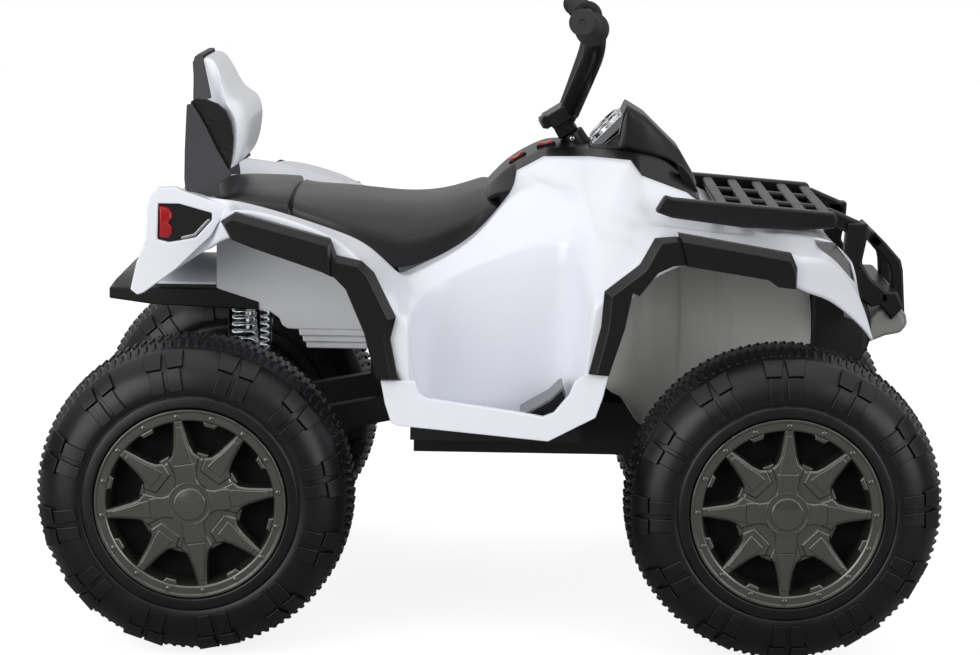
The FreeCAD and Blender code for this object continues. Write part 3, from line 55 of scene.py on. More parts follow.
# The steering column's axes, forward, left and up along the column, from its top in millimetres.
COLUMN = Matrix(((0.848, 0, -0.53, 92), (0, 1, 0, 0), (0.53, 0, 0.848, 569), (0, 0, 0, 1)))


class Side(Enum):
    """The two sides of the bike, as the sign of Y."""

    RIGHT = -1
    LEFT = 1


class End(Enum):
    """The two ends of the bike, as the sign of X."""

    REAR = -1
    FRONT = 1


def linear(colour: str) -> tuple[float, float, float, float]:
    """Turns an sRGB hex colour into linear values.

    Args:
        colour: six hex digits, with or without a leading #.

    Returns:
        Red, green, blue and an alpha of 1.
    """
    digits = colour.lstrip("#")
    shares = [int(digits[i:i + 2], 16) / 255 for i in (0, 2, 4)]
    curve = [c / 12.92 if c <= 0.04045 else ((c + 0.055) / 1.055) ** 2.4 for c in shares]
    return (*curve, 1.0)


def add_node(tree: bpy.types.NodeTree, kind: str, settings: dict | None = None,
             inputs: dict | None = None) -> bpy.types.Node:
    """Adds one shader node.

    Args:
        tree: the material's node tree.
        kind: the node's type name.
        settings: attributes to set on the node.
        inputs: values or other nodes' outputs for its sockets, by name or number.

    Returns:
        The new node.
    """
    node = tree.nodes.new(kind)
    for name, value in (settings or {}).items():
        setattr(node, name, value)
    for socket, value in (inputs or {}).items():
        if isinstance(value, bpy.types.NodeSocket):
            tree.links.new(value, node.inputs[socket])
        else:
            node.inputs[socket].default_value = value
    return node


@dataclass(frozen=True)
class Finish:
    """A surface with a fine grain and a slow, faint unevenness, both in real millimetres."""

    name: str
    slot: str
    colour: str
    roughness: float
    ior: float = 1.5
    metallic: float = 0.0
    coat: float = 0.0
    transmission: float = 0.0
    grain_mm: float = 1.0
    grain_depth_mm: float = 0.02
    mottle_mm: float = 40.0
    mottle: float = 0.05
    shade: float = 0.08

    def material(self) -> bpy.types.Material:
        """Returns the material of this finish, made once."""
        found = bpy.data.materials.get(self.name)
        if found:
            return found
        made = bpy.data.materials.new(self.name)
        made.use_nodes = True
        tree = made.node_tree
        shader = tree.nodes["Principled BSDF"]
        shader.inputs["Metallic"].default_value = self.metallic
        shader.inputs["IOR"].default_value = self.ior
        shader.inputs["Coat Weight"].default_value = self.coat
        shader.inputs["Coat Roughness"].default_value = 0.12
        shader.inputs["Transmission Weight"].default_value = self.transmission
        self.pattern(tree, shader)
        return made

    def pattern(self, tree: bpy.types.NodeTree, shader: bpy.types.Node) -> None:
        """Links grain to the normal and mottle to colour and roughness.

        Args:
            tree: the material's node tree.
            shader: the principled shader.
        """
        place = add_node(tree, "ShaderNodeTexCoord").outputs["Object"]
        slow = self.slow_pattern(tree, place)
        pale = linear(self.colour)
        dark = tuple(c * (1 - self.shade) for c in pale[:3]) + (1.0,)
        tint = add_node(tree, "ShaderNodeMix", {"data_type": "RGBA"}, {0: slow, 6: dark, 7: pale})
        rough = add_node(tree, "ShaderNodeMapRange", None, {
            "Value": slow, "To Min": max(0.0, self.roughness - self.mottle),
            "To Max": self.roughness + self.mottle})
        fine = self.fine_pattern(tree, place)
        bump = add_node(tree, "ShaderNodeBump", None, {
            "Height": fine, "Distance": self.grain_depth_mm * MM, "Strength": 1.0})
        tree.links.new(tint.outputs[2], shader.inputs["Base Color"])
        tree.links.new(rough.outputs[0], shader.inputs["Roughness"])
        tree.links.new(bump.outputs[0], shader.inputs["Normal"])

    def slow_pattern(self, tree: bpy.types.NodeTree, place: bpy.types.NodeSocket) -> bpy.types.NodeSocket:
        """Returns the output that varies slowly over the surface."""
        scale = 1 / (self.mottle_mm * MM)
        return add_node(tree, "ShaderNodeTexNoise", None,
                        {"Vector": place, "Scale": scale, "Detail": 3.0}).outputs[0]

    def fine_pattern(self, tree: bpy.types.NodeTree, place: bpy.types.NodeSocket) -> bpy.types.NodeSocket:
        """Returns the output that makes the fine grain."""
        scale = 1 / (self.grain_mm * MM)
        return add_node(tree, "ShaderNodeTexNoise", None,
                        {"Vector": place, "Scale": scale, "Detail": 2.0}).outputs[0]


@dataclass(frozen=True)
class FlakePaint(Finish):
    """A sprayed metallic paint whose flakes catch the light one by one."""

    def fine_pattern(self, tree: bpy.types.NodeTree, place: bpy.types.NodeSocket) -> bpy.types.NodeSocket:
        """Returns flat flakes, each at its own height."""
        scale = 1 / (self.grain_mm * MM)
        return add_node(tree, "ShaderNodeTexVoronoi", None, {"Vector": place, "Scale": scale}).outputs["Color"]


@dataclass(frozen=True)
class DrawnSteel(Finish):
    """Plated steel with drawing lines along its length."""

    def fine_pattern(self, tree: bpy.types.NodeTree, place: bpy.types.NodeSocket) -> bpy.types.NodeSocket:
        """Returns lines that run along Y."""
        scale = 1 / (self.grain_mm * MM)
        stretched = add_node(tree, "ShaderNodeMapping", None, {"Vector": place, "Scale": (1.0, 0.05, 1.0)})
        return add_node(tree, "ShaderNodeTexNoise", None,
                        {"Vector": stretched.outputs[0], "Scale": scale, "Detail": 2.0}).outputs[0]


# Gloss polypropylene, injection moulded: a bright white with soft broad highlights and a faint orange peel.
WHITE_BODY = Finish("polypropylene_gloss_white", "body_white", "#EEF0F8", 0.27, ior=1.49, coat=0.25,
                    grain_mm=7.0, grain_depth_mm=0.012, mottle_mm=120.0, mottle=0.01, shade=0.01)
# Hidden faces of the body, left as moulded: the same white, but dull, so that it turns grey in the shade.
DULL_WHITE = Finish("polypropylene_matt_white", "body_white", "#E9EAEE", 0.5, ior=1.49,
                    grain_mm=1.2, grain_depth_mm=0.03, mottle_mm=60.0, mottle=0.05, shade=0.05)
# Walls of the front wheel arches: the same dull white plastic, painted grey with a faint warm cast as painted
# shade under the fenders.
ARCH_SHADE_WHITE = Finish("polypropylene_matt_warm_white", "body_white", "#C6C6C2", 0.5, ior=1.49,
                    grain_mm=1.2, grain_depth_mm=0.03, mottle_mm=60.0, mottle=0.05, shade=0.06)
# The skid under the nose: white plastic painted mid grey with a slightly warm tone as painted shade, since it
# faces down; no gloss.
SKID_SHADE_GREY = Finish("polypropylene_matt_grey", "body_white", "#8E8D88", 0.55, ior=1.49,
                   grain_mm=1.4, grain_depth_mm=0.04, mottle_mm=70.0, mottle=0.06, shade=0.1)
# Satin polypropylene from an etched mould: black with a grey sheen. The real etch of 0.15 mm is drawn coarser.
BLACK_TRIM = Finish("polypropylene_satin_black", "trim_black", "#0D0D0F", 0.33, ior=1.43,
                    grain_mm=0.9, grain_depth_mm=0.03, mottle_mm=35.0, mottle=0.06, shade=0.2)
# A coarser etch on the backrest's mounts, which scatters light into a charcoal grey.
CHARCOAL_TRIM = Finish("polypropylene_etched_charcoal", "trim_black", "#38383B", 0.52, ior=1.49,
                       grain_mm=1.0, grain_depth_mm=0.05, mottle_mm=35.0, mottle=0.06, shade=0.12)
# The same plastic left as moulded, duller, on parts that are out of sight.
BLACK_CHASSIS = Finish("polypropylene_matt_black", "chassis_black", "#0E0E0F", 0.55, ior=1.49,
                       grain_mm=1.6, grain_depth_mm=0.06, mottle_mm=50.0, mottle=0.08, shade=0.25)
# Moulded seat skin: smooth satin black that shows a long soft highlight along its crown.
SEAT_SKIN = Finish("polyethylene_seat_black", "seat_black", "#161618", 0.34, ior=1.5,
                   grain_mm=1.1, grain_depth_mm=0.03, mottle_mm=60.0, mottle=0.05, shade=0.15)
# Thermoplastic rubber, moulded: dull black with a fine nap.
GRIP_RUBBER = Finish("thermoplastic_rubber_black", "grip_black", "#131315", 0.55, ior=1.52,
                     grain_mm=0.8, grain_depth_mm=0.05, mottle_mm=20.0, mottle=0.08, shade=0.2)
# Blow-moulded polyethylene wheels: deep black with a waxy sheen; the faint blue in the black is a painted tint of
# that sheen.
TYRE_PLASTIC = Finish("polyethylene_tyre_black", "tyre_black", "#08080B", 0.36, ior=1.44,
                      grain_mm=1.3, grain_depth_mm=0.03, mottle_mm=30.0, mottle=0.08, shade=0.25)
# Gunmetal paint sprayed on moulded covers: fine flakes in a warm dark grey. Flakes are drawn coarser to show.
RIM_PAINT = FlakePaint("gunmetal_paint_on_abs", "rim_grey", "#6C6B65", 0.22, metallic=0.85, coat=0.15,
                       grain_mm=0.7, grain_depth_mm=0.015, mottle_mm=25.0, mottle=0.06, shade=0.15)
# ABS left as moulded in the pockets of the wheel covers: black of its own, taken down to near black without gloss
# as painted shade of the deep pockets.
POCKET_BLACK_AND_SHADE = Finish("abs_pocket_black_and_painted_shade", "rim_grey", "#050506", 0.75, ior=1.3,
                      grain_mm=1.2, grain_depth_mm=0.03, mottle_mm=30.0, mottle=0.06, shade=0.2)
# Bright plating on plastic and spring wire: a clean mirror with faint smudges.
CHROME = Finish("chrome_plating", "chrome", "#DADCE0", 0.1, metallic=1.0,
                grain_mm=4.0, grain_depth_mm=0.004, mottle_mm=12.0, mottle=0.05, shade=0.06)
# Zinc-plated mild steel rods and nuts: pale grey with faint lines.
ZINC_STEEL = DrawnSteel("zinc_plated_steel", "steel", "#A9ABB0", 0.32, metallic=1.0,
                        grain_mm=0.6, grain_depth_mm=0.01, mottle_mm=15.0, mottle=0.08, shade=0.15)
# Clear moulded polycarbonate sleeve. A thin wall bends light very little, so its index is drawn low.
CLEAR_SLEEVE = Finish("polycarbonate_clear", "sleeve_clear", "#F8FAFB", 0.04, ior=1.06, transmission=1.0,
                      grain_mm=6.0, grain_depth_mm=0.001, mottle_mm=30.0, mottle=0.02, shade=0.02)
# Smoked polycarbonate, moulded, over the headlights: dark and glossy, with little of the lamp showing through.
SMOKED_LENS = Finish("polycarbonate_smoked", "lamp_lens", "#17181B", 0.06, ior=1.58, coat=0.4, transmission=0.2,
                     grain_mm=5.0, grain_depth_mm=0.01, mottle_mm=20.0, mottle=0.02, shade=0.05)
# Red transparent acrylic, moulded: deep and glossy.
RED_LENS = Finish("acrylic_red", "tail_red", "#B00D18", 0.1, ior=1.49, coat=0.6,
                  grain_mm=3.0, grain_depth_mm=0.02, mottle_mm=9.0, mottle=0.03, shade=0.35)
# Red ABS rocker caps, moulded: a clear red with a light gloss.
RED_SWITCH = Finish("abs_red_gloss", "switch_red", "#C8201C", 0.28, coat=0.3,
                    grain_mm=1.0, grain_depth_mm=0.01, mottle_mm=8.0, mottle=0.05, shade=0.12)
# Silicone push buttons, moulded: a soft mid grey without gloss.
GREY_BUTTON = Finish("silicone_grey", "button_grey", "#55565A", 0.5,
                     grain_mm=0.8, grain_depth_mm=0.02, mottle_mm=8.0, mottle=0.05, shade=0.1)
# ABS battery case, moulded: plain, dull and nearly black.
BATTERY_CASE = Finish("abs_battery_black", "battery_case", "#1C1C20", 0.5,
                      grain_mm=1.4, grain_depth_mm=0.04, mottle_mm=30.0, mottle=0.06, shade=0.15)
# Silver hot-stamped foil on the pedal's tread: a coarse sparkle, drawn larger than the real grain to show.
SILVER_FOIL = FlakePaint("silver_foil_on_abs", "chrome", "#85878B", 0.35, metallic=0.6,
                         grain_mm=1.4, grain_depth_mm=0.25, mottle_mm=6.0, mottle=0.1, shade=0.4)


class Draft:
    """The points, faces and creases of one piece while it is drawn, in millimetres."""

    def __init__(self) -> None:
        """Starts with nothing drawn."""
        self.points: list[Vector] = []
        self.faces: list[tuple[int, ...]] = []
        self.tones: list[int] = []
        self.creases: dict[tuple[int, int], float] = {}
        self.pins: set[int] = set()

    def add(self, points: Iterable[Point], faces: Iterable[Sequence[int]], tone: int = 0) -> int:
        """Adds points and the faces among them.

        Args:
            points: places in millimetres.
            faces: rings of numbers into those points.
            tone: which of the piece's finishes the faces take.

        Returns:
            The number of the first added point.
        """
        first = len(self.points)
        self.points += [Vector(point) for point in points]
        for face in faces:
            self.faces.append(tuple(first + i for i in face))
            self.tones.append(tone)
        return first

    def grid(self, rows: Sequence[Sequence[Point]], open_cells: Iterable[tuple[int, int]] = (), tone: int = 0,
             round_columns: bool = False, round_rows: bool = False) -> int:
        """Adds a sheet through rows of points.

        Args:
            rows: rows of equal length.
            open_cells: (row, column) of cells left open.
            tone: which of the piece's finishes the faces take.
            round_columns: whether the last column joins the first.
            round_rows: whether the last row joins the first.

        Returns:
            The number of the first added point.
        """
        high, wide = len(rows), len(rows[0])
        left_out = set(open_cells)
        faces = []
        for i in range(high if round_rows else high - 1):
            for j in range(wide if round_columns else wide - 1):
                if (i, j) not in left_out:
                    below, beside = (i + 1) % high, (j + 1) % wide
                    faces.append((i * wide + j, below * wide + j, below * wide + beside, i * wide + beside))
        return self.add([point for row in rows for point in row], faces, tone)

    def crease_line(self, numbers: Sequence[int], weight: float) -> None:
        """Makes the edges along a run of points sharper.

        Args:
            numbers: the points in order.
            weight: from 0, smooth, to 1, sharp.
        """
        for a, b in zip(numbers, numbers[1:]):
            self.creases[(min(a, b), max(a, b))] = weight

    def crease_columns(self, rows: Sequence[Sequence[Point]], weights: dict[int, float]) -> None:
        """Makes columns of the first sheet, and their mirror images, sharper.

        Args:
            rows: the sheet's rows.
            weights: crease weight by column.
        """
        wide = len(rows[0])
        for column, weight in weights.items():
            for j in (column, wide - 1 - column):
                self.crease_line([i * wide + j for i in range(len(rows))], weight)

    def crease_row(self, rows: Sequence[Sequence[Point]], row: int, weight: float, first: int = 0,
                   last: int | None = None) -> None:
        """Makes a row of the first sheet sharper.

        Args:
            rows: the sheet's rows.
            row: which row.
            weight: crease weight.
            first: where the crease begins, from either side.
            last: where it stops, or nothing for the whole row.
        """
        wide = len(rows[0])
        for part in ([range(wide)] if last is None else [range(first, last), range(wide - last, wide - first)]):
            self.crease_line([row * wide + j for j in part], weight)

    def slab(self, outline: Outline, low: float, high: float, tone: int = 0) -> None:
        """Adds a plate with a side-view outline.

        Args:
            outline: (x, z) corners.
            low: Y of one face.
            high: Y of the other face.
            tone: which of the piece's finishes the faces take.
        """
        self.loft([[(x, low, z) for x, z in outline], [(x, high, z) for x, z in outline]], tone)

    def window_frame(self, outline: Outline, window: Outline, low: float, high: float,
                     seam: tuple[int, int]) -> None:
        """Adds a plate with one opening, split where the opening comes nearest to the outline.

        Args:
            outline: (x, z) corners of the plate.
            window: (x, z) corners of the opening, in the same turning sense.
            low: Y of one face.
            high: Y of the other face.
            seam: corners of the outline that join the first and the third corner of the opening.
        """
        first, second = seam
        count, inner = len(outline), len(window)
        total = count + inner
        cut = count + 2
        above = [*range(first, second + 1), *range(cut, count - 1, -1)]
        below = [*range(second, count), *range(first + 1), count, *range(total - 1, cut - 1, -1)]
        faces = [above, below, [i + total for i in reversed(above)], [i + total for i in reversed(below)]]
        for start, length in ((0, count), (count, inner)):
            for i in range(length):
                a, b = start + i, start + (i + 1) % length
                faces.append([a, b, b + total, a + total])
        self.add([(x, y, z) for y in (low, high) for x, z in [*outline, *window]], faces)

    def loft(self, rings: Sequence[Sequence[Point]], tone: int = 0) -> None:
        """Adds a closed solid through rings of points.

        Args:
            rings: rings of equal length, in order along the solid.
            tone: which of the piece's finishes the faces take.
        """
        first = self.grid(rings, round_columns=True, tone=tone)
        wide = len(rings[0])
        last = first + (len(rings) - 1) * wide
        self.faces.append(tuple(range(first + wide - 1, first - 1, -1)))
        self.faces.append(tuple(range(last, last + wide)))
        self.tones += [tone, tone]

    def lathe(self, profile: Outline, steps: int, centre: Point, out: Point,
              tone: int = 0, closed: bool = True) -> None:
        """Adds a turned form.

        Args:
            profile: (distance along the axis, radius) pairs.
            steps: faces round the axis.
            centre: where the axis starts.
            out: the axis direction.
            tone: which of the piece's finishes the faces take.
            closed: whether the profile's ends join each other, instead of being capped.
        """
        axis = Vector(out).normalized()
        across = axis.orthogonal().normalized()
        beside = axis.cross(across)
        rings = []
        for along, radius in profile:
            middle = Vector(centre) + axis * along
            turns = [math.tau * k / steps for k in range(steps)]
            rings.append([middle + (across * math.cos(t) + beside * math.sin(t)) * radius for t in turns])
        if closed:
            self.grid(rings, round_columns=True, round_rows=True, tone=tone)
        else:
            self.loft(rings, tone)

    def tube(self, path: Sequence[Point], section: Outline, tone: int = 0) -> None:
        """Adds a bar with a given section along a path.

        Args:
            path: the middle line.
            section: (sideways, upright) corners of the section.
            tone: which of the piece's finishes the faces take.
        """
        line = [Vector(point) for point in path]
        rings = []
        beside = None
        for i, point in enumerate(line):
            ahead = (line[min(i + 1, len(line) - 1)] - line[max(i - 1, 0)]).normalized()
            if beside is None:
                beside = ahead.orthogonal().normalized()
            beside = (beside - ahead * beside.dot(ahead)).normalized()
            upright = ahead.cross(beside)
            rings.append([point + beside * a + upright * b for a, b in section])
        self.loft(rings, tone)

    def box(self, low: Point, high: Point, tone: int = 0) -> None:
        """Adds a block between two corners."""
        self.slab([(low[0], low[2]), (high[0], low[2]), (high[0], high[2]), (low[0], high[2])], low[1], high[1],
                  tone=tone)

    def moved(self, matrix: Matrix, mirror: bool = False) -> "Draft":
        """Returns a copy that has been turned and moved.

        Args:
            matrix: the turn and move, in millimetres.
            mirror: whether the matrix turns the copy inside out.

        Returns:
            The copy.
        """
        copy = Draft()
        copy.points = [matrix @ point for point in self.points]
        copy.faces = [tuple(reversed(face)) if mirror else face for face in self.faces]
        copy.tones = list(self.tones)
        copy.creases = dict(self.creases)
        copy.pins = set(self.pins)
        return copy

    def merge(self, other: "Draft") -> None:
        """Adds everything that is drawn in another draft."""
        first = len(self.points)
        self.points += other.points
        self.faces += [tuple(first + i for i in face) for face in other.faces]
        self.tones += other.tones
        for (a, b), weight in other.creases.items():
            self.creases[(first + a, first + b)] = weight
        self.pins |= {first + i for i in other.pins}

    def both_sides(self) -> "Draft":
        """Adds the mirror image on the other side of the bike and returns the draft."""
        self.merge(self.moved(Matrix.Diagonal((1, -1, 1, 1)), mirror=True))
        return self

    def piece(self, name: str, *finishes: Finish, closed: bool = True) -> bpy.types.Object:
        """Makes the object.

        Args:
            name: the piece's name.
            finishes: its finishes, by tone.
            closed: whether the piece is solid, so that its faces can be turned outward.

        Returns:
            The new object, in metres.
        """
        mesh = bpy.data.meshes.new(name)
        mesh.from_pydata([point * MM for point in self.points], [], self.faces)
        for finish in finishes:
            mesh.materials.append(finish.material())
        for polygon, tone in zip(mesh.polygons, self.tones):
            polygon.material_index = tone
            polygon.use_smooth = True
        if self.creases:
            weights = mesh.attributes.new("crease_edge", "FLOAT", "EDGE")
            for edge in mesh.edges:
                a, b = edge.vertices
                weights.data[edge.index].value = self.creases.get((min(a, b), max(a, b)), 0.0)
        if self.pins:
            holds = mesh.attributes.new("crease_vert", "FLOAT", "POINT")
            for i in self.pins:
                holds.data[i].value = 1.0
        if closed:
            work = bmesh.new()
            work.from_mesh(mesh)
            bmesh.ops.recalc_face_normals(work, faces=work.faces)
            work.to_mesh(mesh)
            work.free()
        made = bpy.data.objects.new(name, mesh)
        bpy.context.scene.collection.objects.link(made)
        return made


def rounded(piece: bpy.types.Object, width: float, segments: int = 2, angle: float = 35.0) -> bpy.types.Object:
    """Rounds a piece's sharp edges.

    Args:
        piece: the piece.
        width: width of the rounding in millimetres.
        segments: faces across the rounding.
        angle: edges sharper than this many degrees are rounded.

    Returns:
        The piece.
    """
    bevel = piece.modifiers.new("edge_rounding", "BEVEL")
    bevel.width = width * MM
    bevel.segments = segments
    bevel.limit_method = "ANGLE"
    bevel.angle_limit = math.radians(angle)
    bevel.harden_normals = True
    return piece


def smoothed(piece: bpy.types.Object, levels: int = 2) -> bpy.types.Object:
    """Turns a cage into a smooth surface and returns the piece."""
    surface = piece.modifiers.new("smooth_surface", "SUBSURF")
    surface.levels = levels
    surface.render_levels = levels
    return piece


def walled(piece: bpy.types.Object, wall: float) -> bpy.types.Object:
    """Gives a sheet its moulded wall, inward, in millimetres, and returns the piece."""
    solid = piece.modifiers.new("moulded_wall", "SOLIDIFY")
    solid.thickness = wall * MM
    solid.offset = -1.0
    solid.use_even_offset = True
    return piece


def fit(piece: bpy.types.Object, body: str, finish: Finish, *nodes: str) -> bpy.types.Object:
    """Sets a piece on its body.

    Args:
        piece: the piece, in place.
        body: the CAD body it moves with.
        finish: not used.
        nodes: the CAD nodes that it stands for.

    Returns:
        The piece.
    """
    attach(piece, body)
    if nodes:
        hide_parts(*nodes)
    LOG.info("%s rides on %s", piece.name, body)
    return piece


def hard_piece(draft: Draft, name: str, finishes: Finish | Sequence[Finish], node: str = "",
               edge: Sequence[float] = (), body: str = "chassis") -> bpy.types.Object:
    """Makes a hard-edged piece and sets it on its body.

    Args:
        draft: the drawn piece.
        name: its name.
        finishes: its finish, or its finishes by tone.
        node: the CAD node that it stands for, if any.
        edge: width, faces and least angle of its edge rounding, or nothing for sharp edges.
        body: the CAD body it moves with.

    Returns:
        The piece.
    """
    tones = [finishes] if isinstance(finishes, Finish) else finishes
    made = draft.piece(name, *tones)
    if edge:
        rounded(made, *edge)
    return fit(made, body, tones[0], *([node] if node else []))


def soft_sheet(draft: Draft, name: str, finishes: Sequence[Finish], node: str, wall: float,
               levels: int = 3) -> None:
    """Makes a smooth moulded sheet on the chassis.

    Args:
        draft: its cage.
        name: its name.
        finishes: its finishes by tone.
        node: the CAD node that it stands for.
        wall: its wall in millimetres.
        levels: how often the cage is divided.
    """
    made = smoothed(draft.piece(name, *finishes, closed=False), levels)
    fit(walled(made, wall), "chassis", finishes[0], node)


def whole_rows(halves: Iterable[Sequence[Point]]) -> list[list[Point]]:
    """Returns rows that run on to the left side as mirror images of their right halves."""
    return [[*half, *((x, -y, z) for x, y, z in reversed(half))] for half in halves]


def spoke_axes(turn: float) -> tuple[Vector, Vector]:
    """Returns the radial and the sideways direction at an angle round an axle."""
    return Vector((math.cos(turn), 0, math.sin(turn))), Vector((-math.sin(turn), 0, math.cos(turn)))


def scaled_rings(side: Outline, middle: Vector,
                 stations: Iterable[tuple[float, float]]) -> list[list[Vector]]:
    """Returns rings of one outline at several widths.

    Args:
        side: (x, z) corners.
        middle: the point that the outline shrinks to.
        stations: Y and the share of the outline's size there.

    Returns:
        One ring for each station.
    """
    corners = [Vector((x, 0, z)) - middle for x, z in side]
    return [[middle + corner * share + Vector((0, y, 0)) for corner in corners] for y, share in stations]


def ring_section(radius: float, sides: int) -> list[tuple[float, float]]:
    """Returns a round section."""
    turns = [math.tau * k / sides for k in range(sides)]
    return [(radius * math.cos(turn), radius * math.sin(turn)) for turn in turns]


def soft_section(half_wide: float, half_high: float, corner: float) -> list[tuple[float, float]]:
    """Returns a rectangle with rounded corners.

    Args:
        half_wide: half of its width.
        half_high: half of its height.
        corner: corner radius.

    Returns:
        The corners of the section.
    """
    section = []
    for quarter in range(4):
        middle_turn = math.pi / 4 + quarter * math.pi / 2
        x = math.copysign(half_wide - corner, math.cos(middle_turn))
        y = math.copysign(half_high - corner, math.sin(middle_turn))
        for step in (-1, -0.33, 0.33, 1):
            turn = middle_turn + step * math.pi / 4
            section.append((x + corner * math.cos(turn), y + corner * math.sin(turn)))
    return section


def drawn_in(outline: Outline, distances: Sequence[float]) -> list[tuple[float, float]]:
    """Moves the edges of an outline inward.

    Args:
        outline: (x, z) corners.
        distances: how far each edge moves, beginning with the edge after the first corner.

    Returns:
        The corners of the smaller outline.
    """
    corners = [Vector(corner) for corner in outline]
    area = sum(a.x * b.y - b.x * a.y for a, b in zip(corners, corners[1:] + corners[:1]))
    hand = math.copysign(1.0, area)
    smaller = []
    for i, corner in enumerate(corners):
        before = (corner - corners[i - 1]).normalized()
        after = (corners[(i + 1) % len(corners)] - corner).normalized()
        p, q = Vector((-before.y, before.x)) * hand, Vector((-after.y, after.x)) * hand
        near, far = distances[i - 1], distances[i]
        turn = p.x * q.y - p.y * q.x
        if abs(turn) > 0.3:
            shift = Vector(((near * q.y - far * p.y) / turn, (far * p.x - near * q.x) / turn))
        else:
            shift = (p + q).normalized() * (near + far) / 2
        smaller.append(tuple(corner + shift))
    return smaller


def eased(points: Sequence[Point], steps: int = 6) -> list[Vector]:
    """Returns a smooth line through points.

    Args:
        points: the points to go through.
        steps: how many parts each run is divided into.

    Returns:
        Points along the line.
    """
    line = [Vector(point) for point in points]
    ends = [line[0] * 2 - line[1]] + line + [line[-1] * 2 - line[-2]]
    smooth = []
    for a, b, c, d in zip(ends, ends[1:], ends[2:], ends[3:]):
        for k in range(steps):
            t = k / steps
            smooth.append(0.5 * ((2 * b) + (c - a) * t + (2 * a - 5 * b + 4 * c - d) * t ** 2
                                 + (3 * b - a - 3 * c + d) * t ** 3))
    smooth.append(line[-1])
    return smooth


